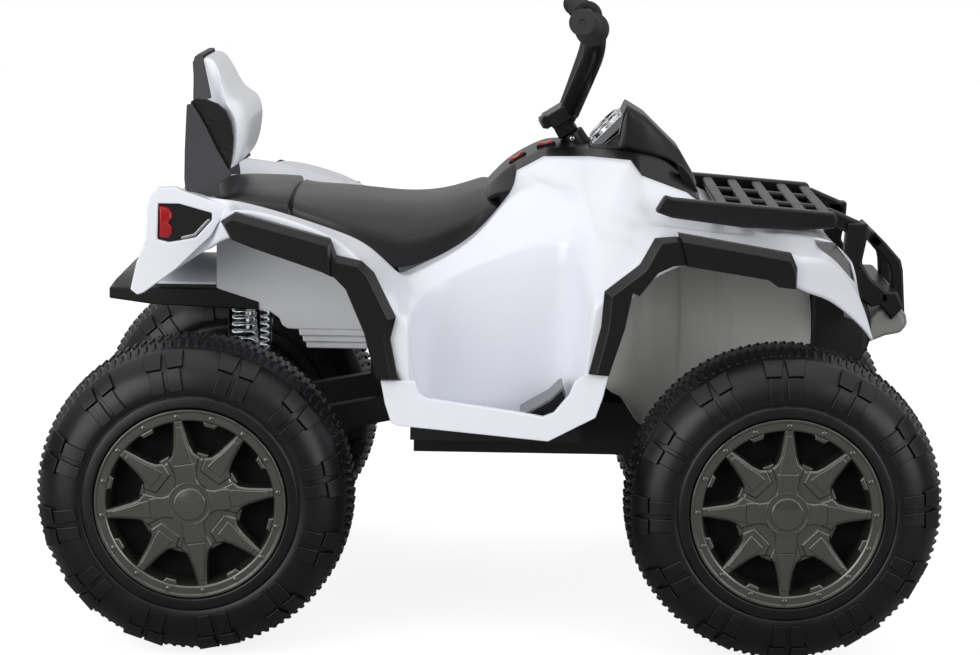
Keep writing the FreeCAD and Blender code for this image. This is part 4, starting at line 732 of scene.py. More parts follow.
@dataclass
class Wheels:
    """Four blow-moulded wheels with painted covers."""

    axle_x: float = 333.5
    axle_z: float = 181.0
    half_track: float = 261.0
    lugs: int = 12
    beads: int = 112
    spokes: int = 8
    steps: int = 144
    outside: tuple = ((66.9, 108.0), (75.0, 108.4), (76.7, 110.2), (76.7, 119.4), (75.8, 121.4), (73.8, 122.6),
                      (75.2, 124.8), (75.2, 133.0), (73.6, 142.0), (70.6, 150.0), (66.4, 157.0), (60.4, 163.2),
                      (53.0, 168.6), (49.0, 170.8), (47.2, 171.5), (43.0, 172.5), (36.0, 174.0), (26.0, 176.5),
                      (12.0, 178.0))
    inside: tuple = ((-76.7, 112.0), (-74.0, 107.0), (-54.0, 102.0), (-50.0, 97.0), (-50.0, 26.0), (-53.0, 20.0),
                     (-77.0, 17.0), (-77.0, 6.2), (44.0, 6.2), (44.0, 100.0))
    # For each row of pads: distance from the group's middle, half widths, radii, and height.
    pads: tuple = ((10.0, (7.0, 8.0), (128.0, 152.0), 3.4), (12.4, (8.6, 11.4), (153.2, 168.4), 4.2))
    # For each row of beads: outward distance, half length, and offset as a share of the spacing.
    bead_rows: tuple = ((33.0, 8.5, 0.0), (-33.0, 8.5, 0.0), (0.0, 13.0, 0.5))
    pad_root: float = -1.5
    # Section of a bead as (height from its top, sideways). Beads drop off beyond the tread's flat middle.
    bead_section: tuple = ((-5.2, -3.2), (0, -1.9), (0, 1.9), (-5.2, 3.2))
    bead_drop: float = 0.35
    flat_half: float = 22.0
    ground_gap: float = 0.3
    # Flat forms of each spoke and of the gap after it: half spaces past the spoke, corners, foot, top and slope.
    flats: tuple = (
        (0, ((96, -5.4), (96, 5.4), (90, 5.8), (66, 9.6), (57, 12.4), (51, 18.8), (36, 13.6), (36, -13.6),
             (51, -18.8), (57, -12.4), (66, -9.6), (90, -5.8)), 46.0, 74.4, 2.2),
        (0, ((89, -3.4), (89, 3.4), (66, 6.6), (56, 9.2), (45, 10.4), (45, -10.4), (56, -9.2), (66, -6.6)),
         73.6, 75.6, 1.0),
        (1, ((95, -9.0), (95, 9.0), (89.0, 6.0), (89.0, -6.0)), 60.0, 75.2, 1.4),
        (1, ((58.0, -7.0), (58.0, 7.0), (51.4, 5.0), (51.4, -5.0)), 46.0, 69.0, 1.4))
    # Rings of the cover, as profile, faces round the axle and tone: backing disc, rim, hub and hub ring. The
    # backing disc's near black is partly painted shade.
    rings: tuple = (
        (((44.4, 8.0), (44.4, 97.0), (45.6, 97.0), (45.6, 8.0)), 96, 1),
        (((67.4, 107.6), (76.4, 107.6), (77.0, 106.8), (76.8, 104.6), (75.6, 103.8), (75.6, 96.4), (74.2, 94.6),
          (71.0, 93.4), (46.0, 91.0), (46.0, 96.0)), 96, 0),
        (((46.0, 8.0), (46.0, 55.0), (70.6, 53.4), (72.6, 51.0), (72.6, 8.0)), 64, 0),
        (((73.0, 25.4), (76.8, 24.8), (76.8, 22.4), (73.4, 21.4)), 48, 0))
    boss: tuple = ((73.0, 18.6), (78.2, 18.4), (79.2, 17.2), (79.3, 6.0), (79.3, 0.1))
    boss_slope: float = 0.2
    bolt: tuple = ((75.0, 3.2), (76.6, 3.2), (77.2, 2.4), (77.4, 1.0), (77.4, 0.1))
    bolt_circle: float = 99.8
    lug_turn: float = 2.4
    rear_turn: float = -8.5

    def profile(self) -> list[tuple[float, float]]:
        """Returns the whole section of a tyre as (outward, radius)."""
        mirrored = [(-out, radius) for out, radius in reversed(self.outside[3:])]
        return list(self.outside) + mirrored + list(self.inside)

    def shoulder(self, radius: float) -> tuple[float, float, float]:
        """Finds a place on the shoulder.

        Args:
            radius: distance from the axle.

        Returns:
            Outward distance there, and the surface direction as outward and radial shares.
        """
        for (out_a, a), (out_b, b) in zip(self.outside[6:], self.outside[7:]):
            if a <= radius <= b:
                share = (radius - a) / (b - a)
                along = Vector((out_b - out_a, b - a)).normalized()
                return out_a + (out_b - out_a) * share, along.y, -along.x
        raise ValueError("no shoulder at this radius")

    def pad(self, draft: Draft, turn: float, sideways: float, halves: tuple[float, float],
            span: tuple[float, float], rise: float) -> None:
        """Adds one tread pad on the outer and inner shoulders.

        Args:
            draft: the tyre.
            turn: angle of the pad's group.
            sideways: distance of the pad from the middle of its group.
            halves: half of the pad's width at its foot and at its top.
            span: radii from its foot to its top.
            rise: height of the pad above the shoulder.
        """
        ahead, across = spoke_axes(turn)
        root = self.pad_root
        for hand in (-1, 1):
            rings = []
            for step in range(4):
                radius = span[0] + (span[1] - span[0]) * step / 3
                half = halves[0] + (halves[1] - halves[0]) * step / 3
                out, face_out, face_up = self.shoulder(radius)
                ring = []
                for height, side in ((rise, -half), (rise, half), (root, half), (root, -half)):
                    spot = ahead * (radius + face_up * height) + across * (sideways + side)
                    ring.append(spot + Vector((0, hand * (out + face_out * height), 0)))
                rings.append(ring)
            draft.loft(rings)

    def tyre(self) -> Draft:
        """Draws a tyre about the origin with its outer face towards -Y."""
        draft = Draft()
        draft.lathe(self.profile(), self.steps, (0, 0, 0), (0, -1, 0))
        for k in range(self.lugs):
            turn = math.tau * k / self.lugs + math.radians(self.lug_turn)
            for side in (-1, 1):
                for sideways, halves, span, rise in self.pads:
                    self.pad(draft, turn, side * sideways, halves, span, rise)
        for k in range(self.beads):
            turn = math.tau * k / self.beads
            for out, half, shift in self.bead_rows:
                self.bead(draft, turn + shift * math.tau / self.beads, out, half)
        return draft

    def bead(self, draft: Draft, turn: float, out: float, half: float) -> None:
        """Adds one bead of the tread.

        Args:
            draft: the tyre.
            turn: its angle.
            out: outward distance of its middle.
            half: half of its length.
        """
        ahead, across = spoke_axes(turn)
        rings = []
        for place in (out - half, out + half):
            top = self.axle_z - self.ground_gap - self.bead_drop * max(0.0, abs(place) - self.flat_half)
            rings.append([ahead * (top + rise) + across * wide + Vector((0, place, 0))
                          for rise, wide in self.bead_section])
        draft.loft(rings)

    def cover(self) -> Draft:
        """Draws a wheel cover about the origin with its face towards -Y."""
        draft = Draft()
        face = (0, -1, 0)
        for profile, steps, tone in self.rings:
            draft.lathe(profile, steps, (0, 0, 0), face, tone)
        for k in range(self.spokes):
            turn = math.tau * k / self.spokes
            for share, outline, low, high, slope in self.flats:
                self.flat(draft, turn + share * math.pi / self.spokes, outline, low, high, slope)
        self.flat(draft, 0.0, self.hub_plate(), 67.8, 76.0, 1.6)
        first = len(draft.points)
        draft.lathe(self.boss, 48, (0, 0, 0), face, closed=False)
        for point in draft.points[first:]:
            if point.y < -77:
                point.y += max(0.0, point.z - 6.0) * self.boss_slope
        for k in range(2 * self.spokes):
            turn = math.tau * k / (2 * self.spokes)
            draft.lathe(self.bolt, 10, spoke_axes(turn)[0] * self.bolt_circle, face, closed=False)
        return draft

    def hub_plate(self) -> list[tuple[float, float]]:
        """Returns the hub's cross outline with scooped corners, as (radial, sideways)."""
        arm_reach, arm_half = 46.0, 12.0
        scoop_reach, scoop_radius, scoop_step = 43.0, 18.5, 0.38
        outline = []
        for quarter in range(4):
            turn = quarter * math.pi / 2
            scoop_middle = Vector((scoop_reach, 0)) @ Matrix.Rotation(-(turn + math.pi / 4), 2)
            for half in (-arm_half, arm_half):
                outline.append(tuple(Vector((arm_reach, half)) @ Matrix.Rotation(-turn, 2)))
            for step in range(7):
                swing = turn + math.pi / 4 + math.pi + (3 - step) * scoop_step
                outline.append(tuple(scoop_middle + Vector((math.cos(swing), math.sin(swing))) * scoop_radius))
        return outline

    def flat(self, draft: Draft, turn: float, outline: Outline, low: float, high: float,
             slope: float) -> None:
        """Adds a flat-topped form with sloping edges on the cover's face.

        Args:
            draft: the cover.
            turn: angle of the form's middle line.
            outline: (radial, sideways) corners.
            low: outward distance of its foot.
            high: outward distance of its top.
            slope: width and height of its sloping edges.
        """
        ahead, across = spoke_axes(turn)
        smaller = drawn_in(outline, [slope] * len(outline))
        rings = []
        for out, ring in ((low, outline), (high - slope, outline), (high, smaller)):
            rings.append([ahead * r + across * s + Vector((0, -out, 0)) for r, s in ring])
        draft.loft(rings)

    def build(self) -> None:
        """Makes all four wheels and sets them on their bodies."""
        tyre, cover = self.tyre(), self.cover()
        for end in End:
            for side in Side:
                place = Matrix.Translation((end.value * self.axle_x, side.value * self.half_track, self.axle_z))
                if side is Side.LEFT:
                    place = place @ Matrix.Diagonal((1, -1, 1, 1))
                if end is End.REAR:
                    place = place @ Matrix.Rotation(math.radians(self.rear_turn), 4, "Y")
                self.dress(tyre, cover, place, f"{end.name}_{side.name}".lower(), side is Side.LEFT)

    def dress(self, tyre: Draft, cover: Draft, place: Matrix, tag: str, mirror: bool) -> None:
        """Makes one wheel.

        Args:
            tyre: the drawn tyre.
            cover: the drawn cover.
            place: where it goes.
            tag: its end and side.
            mirror: whether the place mirrors it.
        """
        layers = ((tyre, "knobbly_tyre", "tyre", (TYRE_PLASTIC,), (1.0, 2, 42)),
                  (cover, "spoked_cover", "rim", (RIM_PAINT, POCKET_BLACK_AND_SHADE), (0.8, 2, 30)))
        for draft, name, node, finishes, edge in layers:
            placed = draft.moved(place, mirror)
            hard_piece(placed, f"{name}_{tag}", finishes, f"{node}_{tag}", edge, f"wheel_{tag}")


@dataclass
class WhiteBody:
    """Moulded white bodywork: shell, tail frames, footboards, arch walls, power box and skid."""

    wall: float = 3.0
    fender: float = 286.0
    brow: float = 0.4
    lamp_brows: tuple = ((20, 0.5), (21, 0.3), (22, 0.08))
    # Rows between which the shell is open under the seat and dash, and rows of the headlight openings.
    opening: tuple = (2, 17)
    lamp_rows: tuple = (20, 21, 22)
    # Folds across the shell, as row, first and last column, and weight.
    folds: tuple = ((1, 0, 4, 0.8), (2, 0, 4, 0.9), (8, 0, 2, 0.7), (14, 0, 2, 0.7), (12, 3, 6, 0.7),
                    (13, 3, 6, 0.7), (15, 3, 6, 0.8), (16, 3, 6, 0.8))

    def rows(self) -> list[list[Point]]:
        """Returns the shell's rows from tail to nose, each from the outer edge to under the seat or dash."""
        f = self.fender
        return [
            [(-404, -222, 402), (-405, -205, 408), (-402, -170, 416), (-398, -110, 420)],
            [(-404, -228, 401), (-400, -231, 438), (-387, -231, 521), (-386, -118, 514)],
            [(-326, -230, 454), (-313, -231, 482), (-318, -231, 513), (-338, -128, 506)],
            [(-298, -262, 476), (-297, -278, 510), (-292, -224, 511), (-298, -132, 486)],
            [(-240, -f, 474), (-240, -f, 501), (-240, -226, 498), (-232, -138, 464)],
            [(-182, -f, 452), (-178, -f, 480), (-182, -222, 479), (-172, -138, 442)],
            [(-152, -f, 422), (-142, -f, 449), (-143, -214, 464), (-140, -138, 426)],
            [(-114, -f, 322), (-108, -f, 388), (-112, -200, 429), (-119, -138, 416)],
            [(-90, -f, 310), (-93, -f, 386), (-100, -190, 420), (-106, -138, 418)],
            [(-84, -184, 262), (-84, -184, 402), (-86, -166, 424), (-88, -138, 428)],
            [(-20, -172, 256), (-20, -178, 434), (-20, -160, 458), (-24, -138, 458)],
            [(40, -172, 256), (36, -180, 456), (16, -143, 514), (22, -103, 516)],
            [(72, -174, 256), (72, -180, 461), (56, -140, 526), (25.5, -102, 537)],
            [(94, -186, 262), (99, -186, 460), (98, -142, 516), (57, -102, 554)],
            [(106, -f, 318), (114, -f, 404), (116, -156, 504), (110, -102, 555)],
            [(116, -f, 322), (126, -f, 414), (134, -158, 498), (159, -102, 551)],
            [(152, -f, 428), (180, -f, 483), (182, -148, 483), (173, -102, 533)],
            [(232, -f, 464), (244, -f, 483), (240, -148, 475), (226, -102, 514)],
            [(300, -f, 451), (300, -f, 473), (300, -150, 469), (270, -98, 486)],
            [(342, -f, 428), (342, -f, 463), (345, -196, 477), (345, -102, 473)],
            [(364, -270, 418), (364, -272, 460), (370, -184, 473), (372, -102, 470)],
            [(386, -250, 410), (386, -252, 453), (394, -182, 469), (400, -98, 465)],
            [(430, -216, 372), (424, -206, 409), (418, -150, 441), (404, -88, 441)],
            [(440, -210, 356), (438, -200, 362), (428, -150, 372), (408, -88, 372)],
        ]

    def shell(self) -> None:
        """Makes the shell."""
        halves = []
        brows = dict(self.lamp_brows)
        for i, (edge, fold, ridge, last) in enumerate(self.rows()):
            x, y, z = last
            tucked = (x, y + 16, z - 9) if self.opening[0] < i < self.opening[1] else (x, y * 0.5, z)
            brow = Vector(fold).lerp(Vector(ridge), brows.get(i, self.brow))
            halves.append([edge, fold, tuple(brow), ridge, last, tucked])
        rows = whole_rows(halves)
        wide = len(rows[0])
        middle = wide // 2 - 1
        lamp_columns = (2, wide - 4)
        lamp_cells = [(i, j) for i in self.lamp_rows[:-1] for j in lamp_columns]
        draft = Draft()
        draft.grid(rows, [(i, middle) for i in range(*self.opening)] + lamp_cells)
        draft.crease_columns(rows, {1: 0.75, 3: 0.55, 4: 0.6})
        for j in (4, wide - 5):
            rim = [i * wide + j for i in range(11, 18)]
            draft.crease_line(rim, 1.0)
            draft.pins.update(rim)
        for row, first, last, weight in self.folds:
            draft.crease_row(rows, row, weight, first, last)
        for j in lamp_columns:
            sides = [[i * wide + j + step for i in self.lamp_rows] for step in (0, 1)]
            for rim in (*sides, [side[0] for side in sides], [side[-1] for side in sides]):
                draft.crease_line(rim, 0.85)
        soft_sheet(draft, "white_body_shell", [WHITE_BODY], "body_shell", self.wall)

    def tail_frames(self) -> None:
        """Makes the frames round the tail lamps, and the tray between them on the rear bumper."""
        outline = [(-412, 408), (-405, 439), (-394, 467), (-392, 505), (-389, 516), (-381, 525), (-360, 526),
                   (-347, 520), (-322, 512), (-304, 505), (-310, 489), (-320, 471), (-360, 432), (-396, 405),
                   (-404, 402)]
        window = [(-380, 507), (-356, 507), (-319, 497), (-319, 489), (-337, 469), (-356, 465), (-368, 463),
                  (-381, 466)]
        draft = Draft()
        draft.window_frame(outline, window, -228.5, -241.5, (3, 9))
        hard_piece(draft.both_sides(), "tail_lamp_frames", WHITE_BODY, edge=(2.6, 3))
        tray = Draft()
        tray.loft([[(-420, y, low), (-327, y, low), (-327, y, low + 3), (-420, y, low + 3)]
                   for y, low in ((-122, 397.6), (-112, 402), (-60, 408), (60, 408), (112, 402), (122, 397.6))])
        hard_piece(tray, "tail_undertray", WHITE_BODY, edge=(1.0, 2))

    def footboards(self) -> None:
        """Makes both footboards with their raised rims and ribbed floors."""
        rim = [(-124, 316), (-119, 290), (-112, 268), (-104, 264), (-90, 263), (66, 249), (119, 277),
               (127, 300), (133, 327), (108, 327), (96, 319), (89, 303), (72, 282), (60, 277), (24, 283),
               (-28, 290), (-71, 296), (-80, 301), (-85, 316)]
        draft = Draft()
        draft.slab(rim, -277.0, -287.4)
        floor = [(-84, 264.0), (66, 251.0), (88, 262.0), (88, 266.0), (66, 255.0), (-84, 268.0)]
        draft.slab(floor, -168.0, -280.0)
        for k in range(9):
            x, z = -70 + k * 11, 266.5 - k * 0.95
            draft.slab([(x, z - 1), (x + 4, z - 1.4), (x + 3.4, z + 1.6), (x + 0.6, z + 1.8)], -190.0, -272.0)
        hard_piece(draft.both_sides(), "footboards_white", WHITE_BODY, "footboards", (2.2, 3))

    def arch_walls(self) -> None:
        """Makes the walls in the front wheel arches, with pressed panels and a dark end behind the nose."""
        columns = [[(126, -262, 306), (128, -258, 350), (132, -254, 400)],
                   [(152, -190, 285), (149, -190, 360), (148, -190, 430)],
                   [(177, -115, 237), (176, -115, 352), (174, -115, 450)]]
        for x, y in ((214, -115), (219, -119), (258, -119), (262, -115.5), (276, -115.5), (280, -118),
                     (372, -118)):
            columns.append([(x, y, 237), (x + 6, y, 352), (x, y, 449)])
        dark = [columns[-1], [(402, -118, 288), (402, -118, 360), (402, -118, 434)],
                [(447, -118, 330), (447, -118, 360), (444, -118, 392)]]
        draft = Draft()
        draft.grid(columns)
        draft.grid(dark, tone=1)
        for i in range(1, len(columns) - 1):
            draft.crease_row(columns, i, 0.75)
        # The walls' grey is painted shade on the white plastic.
        finishes = [ARCH_SHADE_WHITE, BLACK_CHASSIS]
        soft_sheet(draft.both_sides(), "arch_walls_white", finishes, "front_arch_liners", 2.5, 2)

    def power_box(self) -> None:
        """Makes the stepped box under the seat."""
        side = [(-326, 470), (-326, 386), (-298, 374), (-262, 367), (-252, 360), (-248, 351), (-242, 347.5),
                (-231, 347), (-147, 347), (-147, 400), (-160, 418), (-200, 436), (-240, 448), (-290, 468)]
        draft = Draft()
        draft.slab(side, -127.0, 127.0)
        for step, low in enumerate((339, 331, 323)):
            rear = -229 + 4 * step
            half = 125 - 4 * step
            draft.slab([(rear, low + 9), (rear + 1, low), (-147.5, low), (-147.5, low + 9)], -half, half)
        hard_piece(draft, "power_box_white", DULL_WHITE, "power_box", (2.0, 3))

    def skid(self) -> None:
        """Makes the skid under the front bumper."""
        side = [(432, 350), (452, 380), (476, 387), (489, 374), (491, 362), (483, 352), (464, 348), (436, 336)]
        draft = Draft()
        stations = ((-116, 0.8), (-112, 0.95), (-104, 1.0), (104, 1.0), (112, 0.95), (116, 0.8))
        draft.loft(scaled_rings(side, Vector((464, 0, 364)), stations))
        # The skid's grey is painted shade on white plastic.
        hard_piece(draft, "front_skid_grey", SKID_SHADE_GREY, "front_skid", (3.0, 3))

    def build(self) -> None:
        """Makes all the white pieces."""
        self.shell()
        self.tail_frames()
        self.footboards()
        self.arch_walls()
        self.power_box()
        self.skid()


@dataclass
class BlackFlares:
    """Satin black flares over the four wheels, each with a broad slope along its outer edge."""

    foot: float = 286.3
    thick: float = 13.0
    block: float = 7.0
    front: tuple = ((110, 328), (123, 382), (126, 422), (165, 453), (181, 483), (204, 485), (332, 464),
                    (340, 429), (319, 431), (308, 439), (216, 453), (203, 452), (186, 444), (165, 417),
                    (158, 421), (150, 380), (133, 326))
    front_slopes: tuple = (9, 9, 9, 9, 6, 4, 3) + (1.2,) * 10
    front_block: tuple = ((206, 490), (333, 469), (340, 453), (340, 429), (319, 431), (308, 439), (216, 453))
    front_block_slopes: tuple = (8, 4, 2, 1.2, 1.2, 1.2, 3)
    rear: tuple = ((-303, 495), (-287, 505), (-181, 477), (-174, 458), (-146, 452), (-132, 439), (-107, 389),
                   (-113, 364), (-104, 318), (-129, 318), (-134, 337), (-143, 371), (-164, 420), (-178, 434),
                   (-191, 440), (-269, 466), (-292, 475))
    rear_slopes: tuple = (4, 4, 3, 7, 8, 9, 8, 8) + (1.2,) * 9
    rear_block: tuple = ((-303, 495), (-287, 505), (-181, 477), (-178, 434), (-191, 440), (-269, 466),
                         (-292, 475))
    rear_block_slopes: tuple = (4, 8, 3, 1.2, 1.2, 1.2, 3)

    def build(self) -> None:
        """Makes the front and rear pairs."""
        self.dress("front", (self.front, self.front_slopes), (self.front_block, self.front_block_slopes))
        self.dress("rear", (self.rear, self.rear_slopes), (self.rear_block, self.rear_block_slopes))

    def dress(self, end: str, *layers: tuple[Outline, Sequence[float]]) -> None:
        """Makes one pair.

        Args:
            end: front or rear.
            layers: outline and slope widths of the flare and then of its thicker block.
        """
        draft = Draft()
        for i, (outline, slopes) in enumerate(layers):
            top = self.foot + self.thick + i * self.block
            heights = (self.foot, top - 7.0, top)
            outlines = (outline, outline, drawn_in(outline, slopes))
            draft.loft([[(x, -y, z) for x, z in ring] for y, ring in zip(heights, outlines)])
        hard_piece(draft.both_sides(), f"{end}_flares_black", BLACK_TRIM, f"{end}_flares", (0.9, 2, 18))


@dataclass
class SeatAndBackrest:
    """Moulded saddle, and the backrest on its two brackets."""

    seat_rows: tuple = ((-335, 98, 498, 502, 507), (-322, 112, 486, 506, 512), (-290, 117, 482, 506, 512),
                        (-250, 120, 478, 504, 511), (-242.5, 121, 476.5, 503, 510),
                        (-239.5, 119.5, 476, 494, 502), (-236.5, 122, 475, 498.5, 505.5),
                        (-228, 124.5, 471.5, 494.5, 503), (-174, 140, 442, 484, 501),
                        (-126, 140, 420, 468, 496), (-92, 140, 428, 472, 495),
                        (-58, 140, 440, 480, 499), (-24, 134, 460, 491, 511), (-12, 128, 470, 498, 515),
                        (2, 118, 484, 496, 506), (7, 112, 490, 494, 497))
    pad_side: tuple = ((-347, 664), (-334, 661), (-322, 638), (-312, 617), (-299, 613), (-291, 601),
                       (-289, 583), (-293, 558), (-300, 540), (-311, 531), (-331, 556), (-346, 598),
                       (-350, 616), (-353, 655))
    pad_edge: tuple = ((-346, 662), (-333, 659), (-325, 636), (-319, 614), (-310, 602), (-305, 592),
                       (-303.5, 580), (-304.5, 556), (-307, 540), (-312, 529), (-328, 556), (-338, 598),
                       (-343, 616), (-352, 655))
    pad_stations: tuple = ((-108, 0.0), (-100, 0.7), (-84, 1.0), (-30, 1.0), (30, 1.0), (84, 1.0), (100, 0.7),
                           (108, 0.0))
    narrowing: float = 0.45
    strip: tuple = ((-358, 663), (-349, 664), (-341, 640), (-334, 617), (-352, 611), (-357, 636))
    shell_side: tuple = ((-348, 665), (-355, 665), (-359, 660), (-356, 616), (-352, 598), (-335, 556),
                         (-331.3, 556), (-346.3, 598), (-350.3, 616), (-353.3, 655))
    ridge: tuple = ((-362, 656), (-357, 616), (-353, 598), (-350, 598), (-354, 616), (-359, 656))
    cheek: tuple = ((-357, 613), (-352, 616.5), (-338, 615.3), (-325, 610.5), (-316.4, 603), (-309.8, 589),
                    (-307, 571), (-308, 552), (-311.7, 530.6), (-315.5, 533), (-329.7, 557), (-341.6, 581.4),
                    (-351, 598), (-357, 608))
    screw: tuple = ((0, 4.2), (1.2, 4.0), (1.2, 2.6), (0.2, 2.2), (0.2, 0.1))
    bracket: tuple = ((-361, 610), (-355, 611), (-347, 599), (-337.5, 582), (-325.5, 557.5), (-312, 534),
                      (-309, 527), (-324, 518), (-322, 503.4), (-362, 502.8), (-364, 523), (-363.5, 556))
    half: float = 112.0

    def seat(self) -> None:
        """Makes the saddle with its step behind the rider."""
        rows = whole_rows([(x, -half, low), (x, -half - 0.5, (low + edge) / 2), (x, -(half - 4), edge),
                           (x, -half * 0.66, top - 2.5), (x, -half * 0.25, top)]
                          for x, half, low, edge, top in self.seat_rows)
        draft = Draft()
        draft.grid(rows)
        for row in (4, 5, 6):
            draft.crease_row(rows, row, 0.85)
        draft.crease_columns(rows, {0: 1.0})
        soft_sheet(draft, "saddle_black", [SEAT_SKIN], "seat", 4.0)

    def pad(self) -> None:
        """Makes the white pad, flat on its ends and full in the middle."""
        rings = []
        for y, share in self.pad_stations:
            rings.append([(a + (c - a) * share, y, b + (d - b) * share)
                          for (a, b), (c, d) in zip(self.pad_edge, self.pad_side)])
        draft = Draft()
        draft.loft(rings)
        wide = len(self.pad_edge)
        for ring in (0, len(rings) - 1):
            draft.crease_line([ring * wide + j % wide for j in range(wide + 1)], 0.9)
        self.narrow(draft)
        made = smoothed(draft.piece("backrest_pad_white", WHITE_BODY), 3)
        fit(made, "chassis", WHITE_BODY, "backrest_pad")

    def narrow(self, draft: Draft) -> None:
        """Draws the backrest in towards its top.

        Args:
            draft: the pad or the shell.
        """
        foot, head = 604.0, 668.0
        for point in draft.points:
            point.y *= 1 - self.narrowing * max(0.0, (point.z - foot) / (head - foot)) ** 1.3

    def backrest_shell(self) -> None:
        """Makes the charcoal shell with ridges on its back, and the black cheeks with their screws."""
        draft = Draft()
        draft.slab(self.shell_side, -108.2, 108.2, tone=1)
        for y in (-80, -40, 0, 40, 80):
            draft.slab(self.ridge, y - 3, y + 3, tone=1)
        for hand in (-1, 1):
            draft.slab(self.strip, hand * 108.3, hand * self.half, tone=1)
        self.narrow(draft)
        for hand in (-1, 1):
            draft.slab(self.cheek, hand * 108.3, hand * 117.3)
            for x, z in ((-336, 590), (-318, 556)):
                draft.lathe(self.screw, 16, (x, hand * 117.0, z), (0, hand, 0), closed=False)
        hard_piece(draft, "backrest_shell_black", (BLACK_TRIM, CHARCOAL_TRIM), "backrest_shell", (1.6, 3))

    def brackets(self) -> None:
        """Makes the two brackets."""
        draft = Draft()
        draft.slab(self.bracket, -117.6, -125.6)
        hard_piece(draft.both_sides(), "backrest_brackets_charcoal", CHARCOAL_TRIM, "backrest_brackets", (1.4, 3))

    def build(self) -> None:
        """Makes the seat and the backrest."""
        self.seat()
        self.pad()
        self.backrest_shell()
        self.brackets()


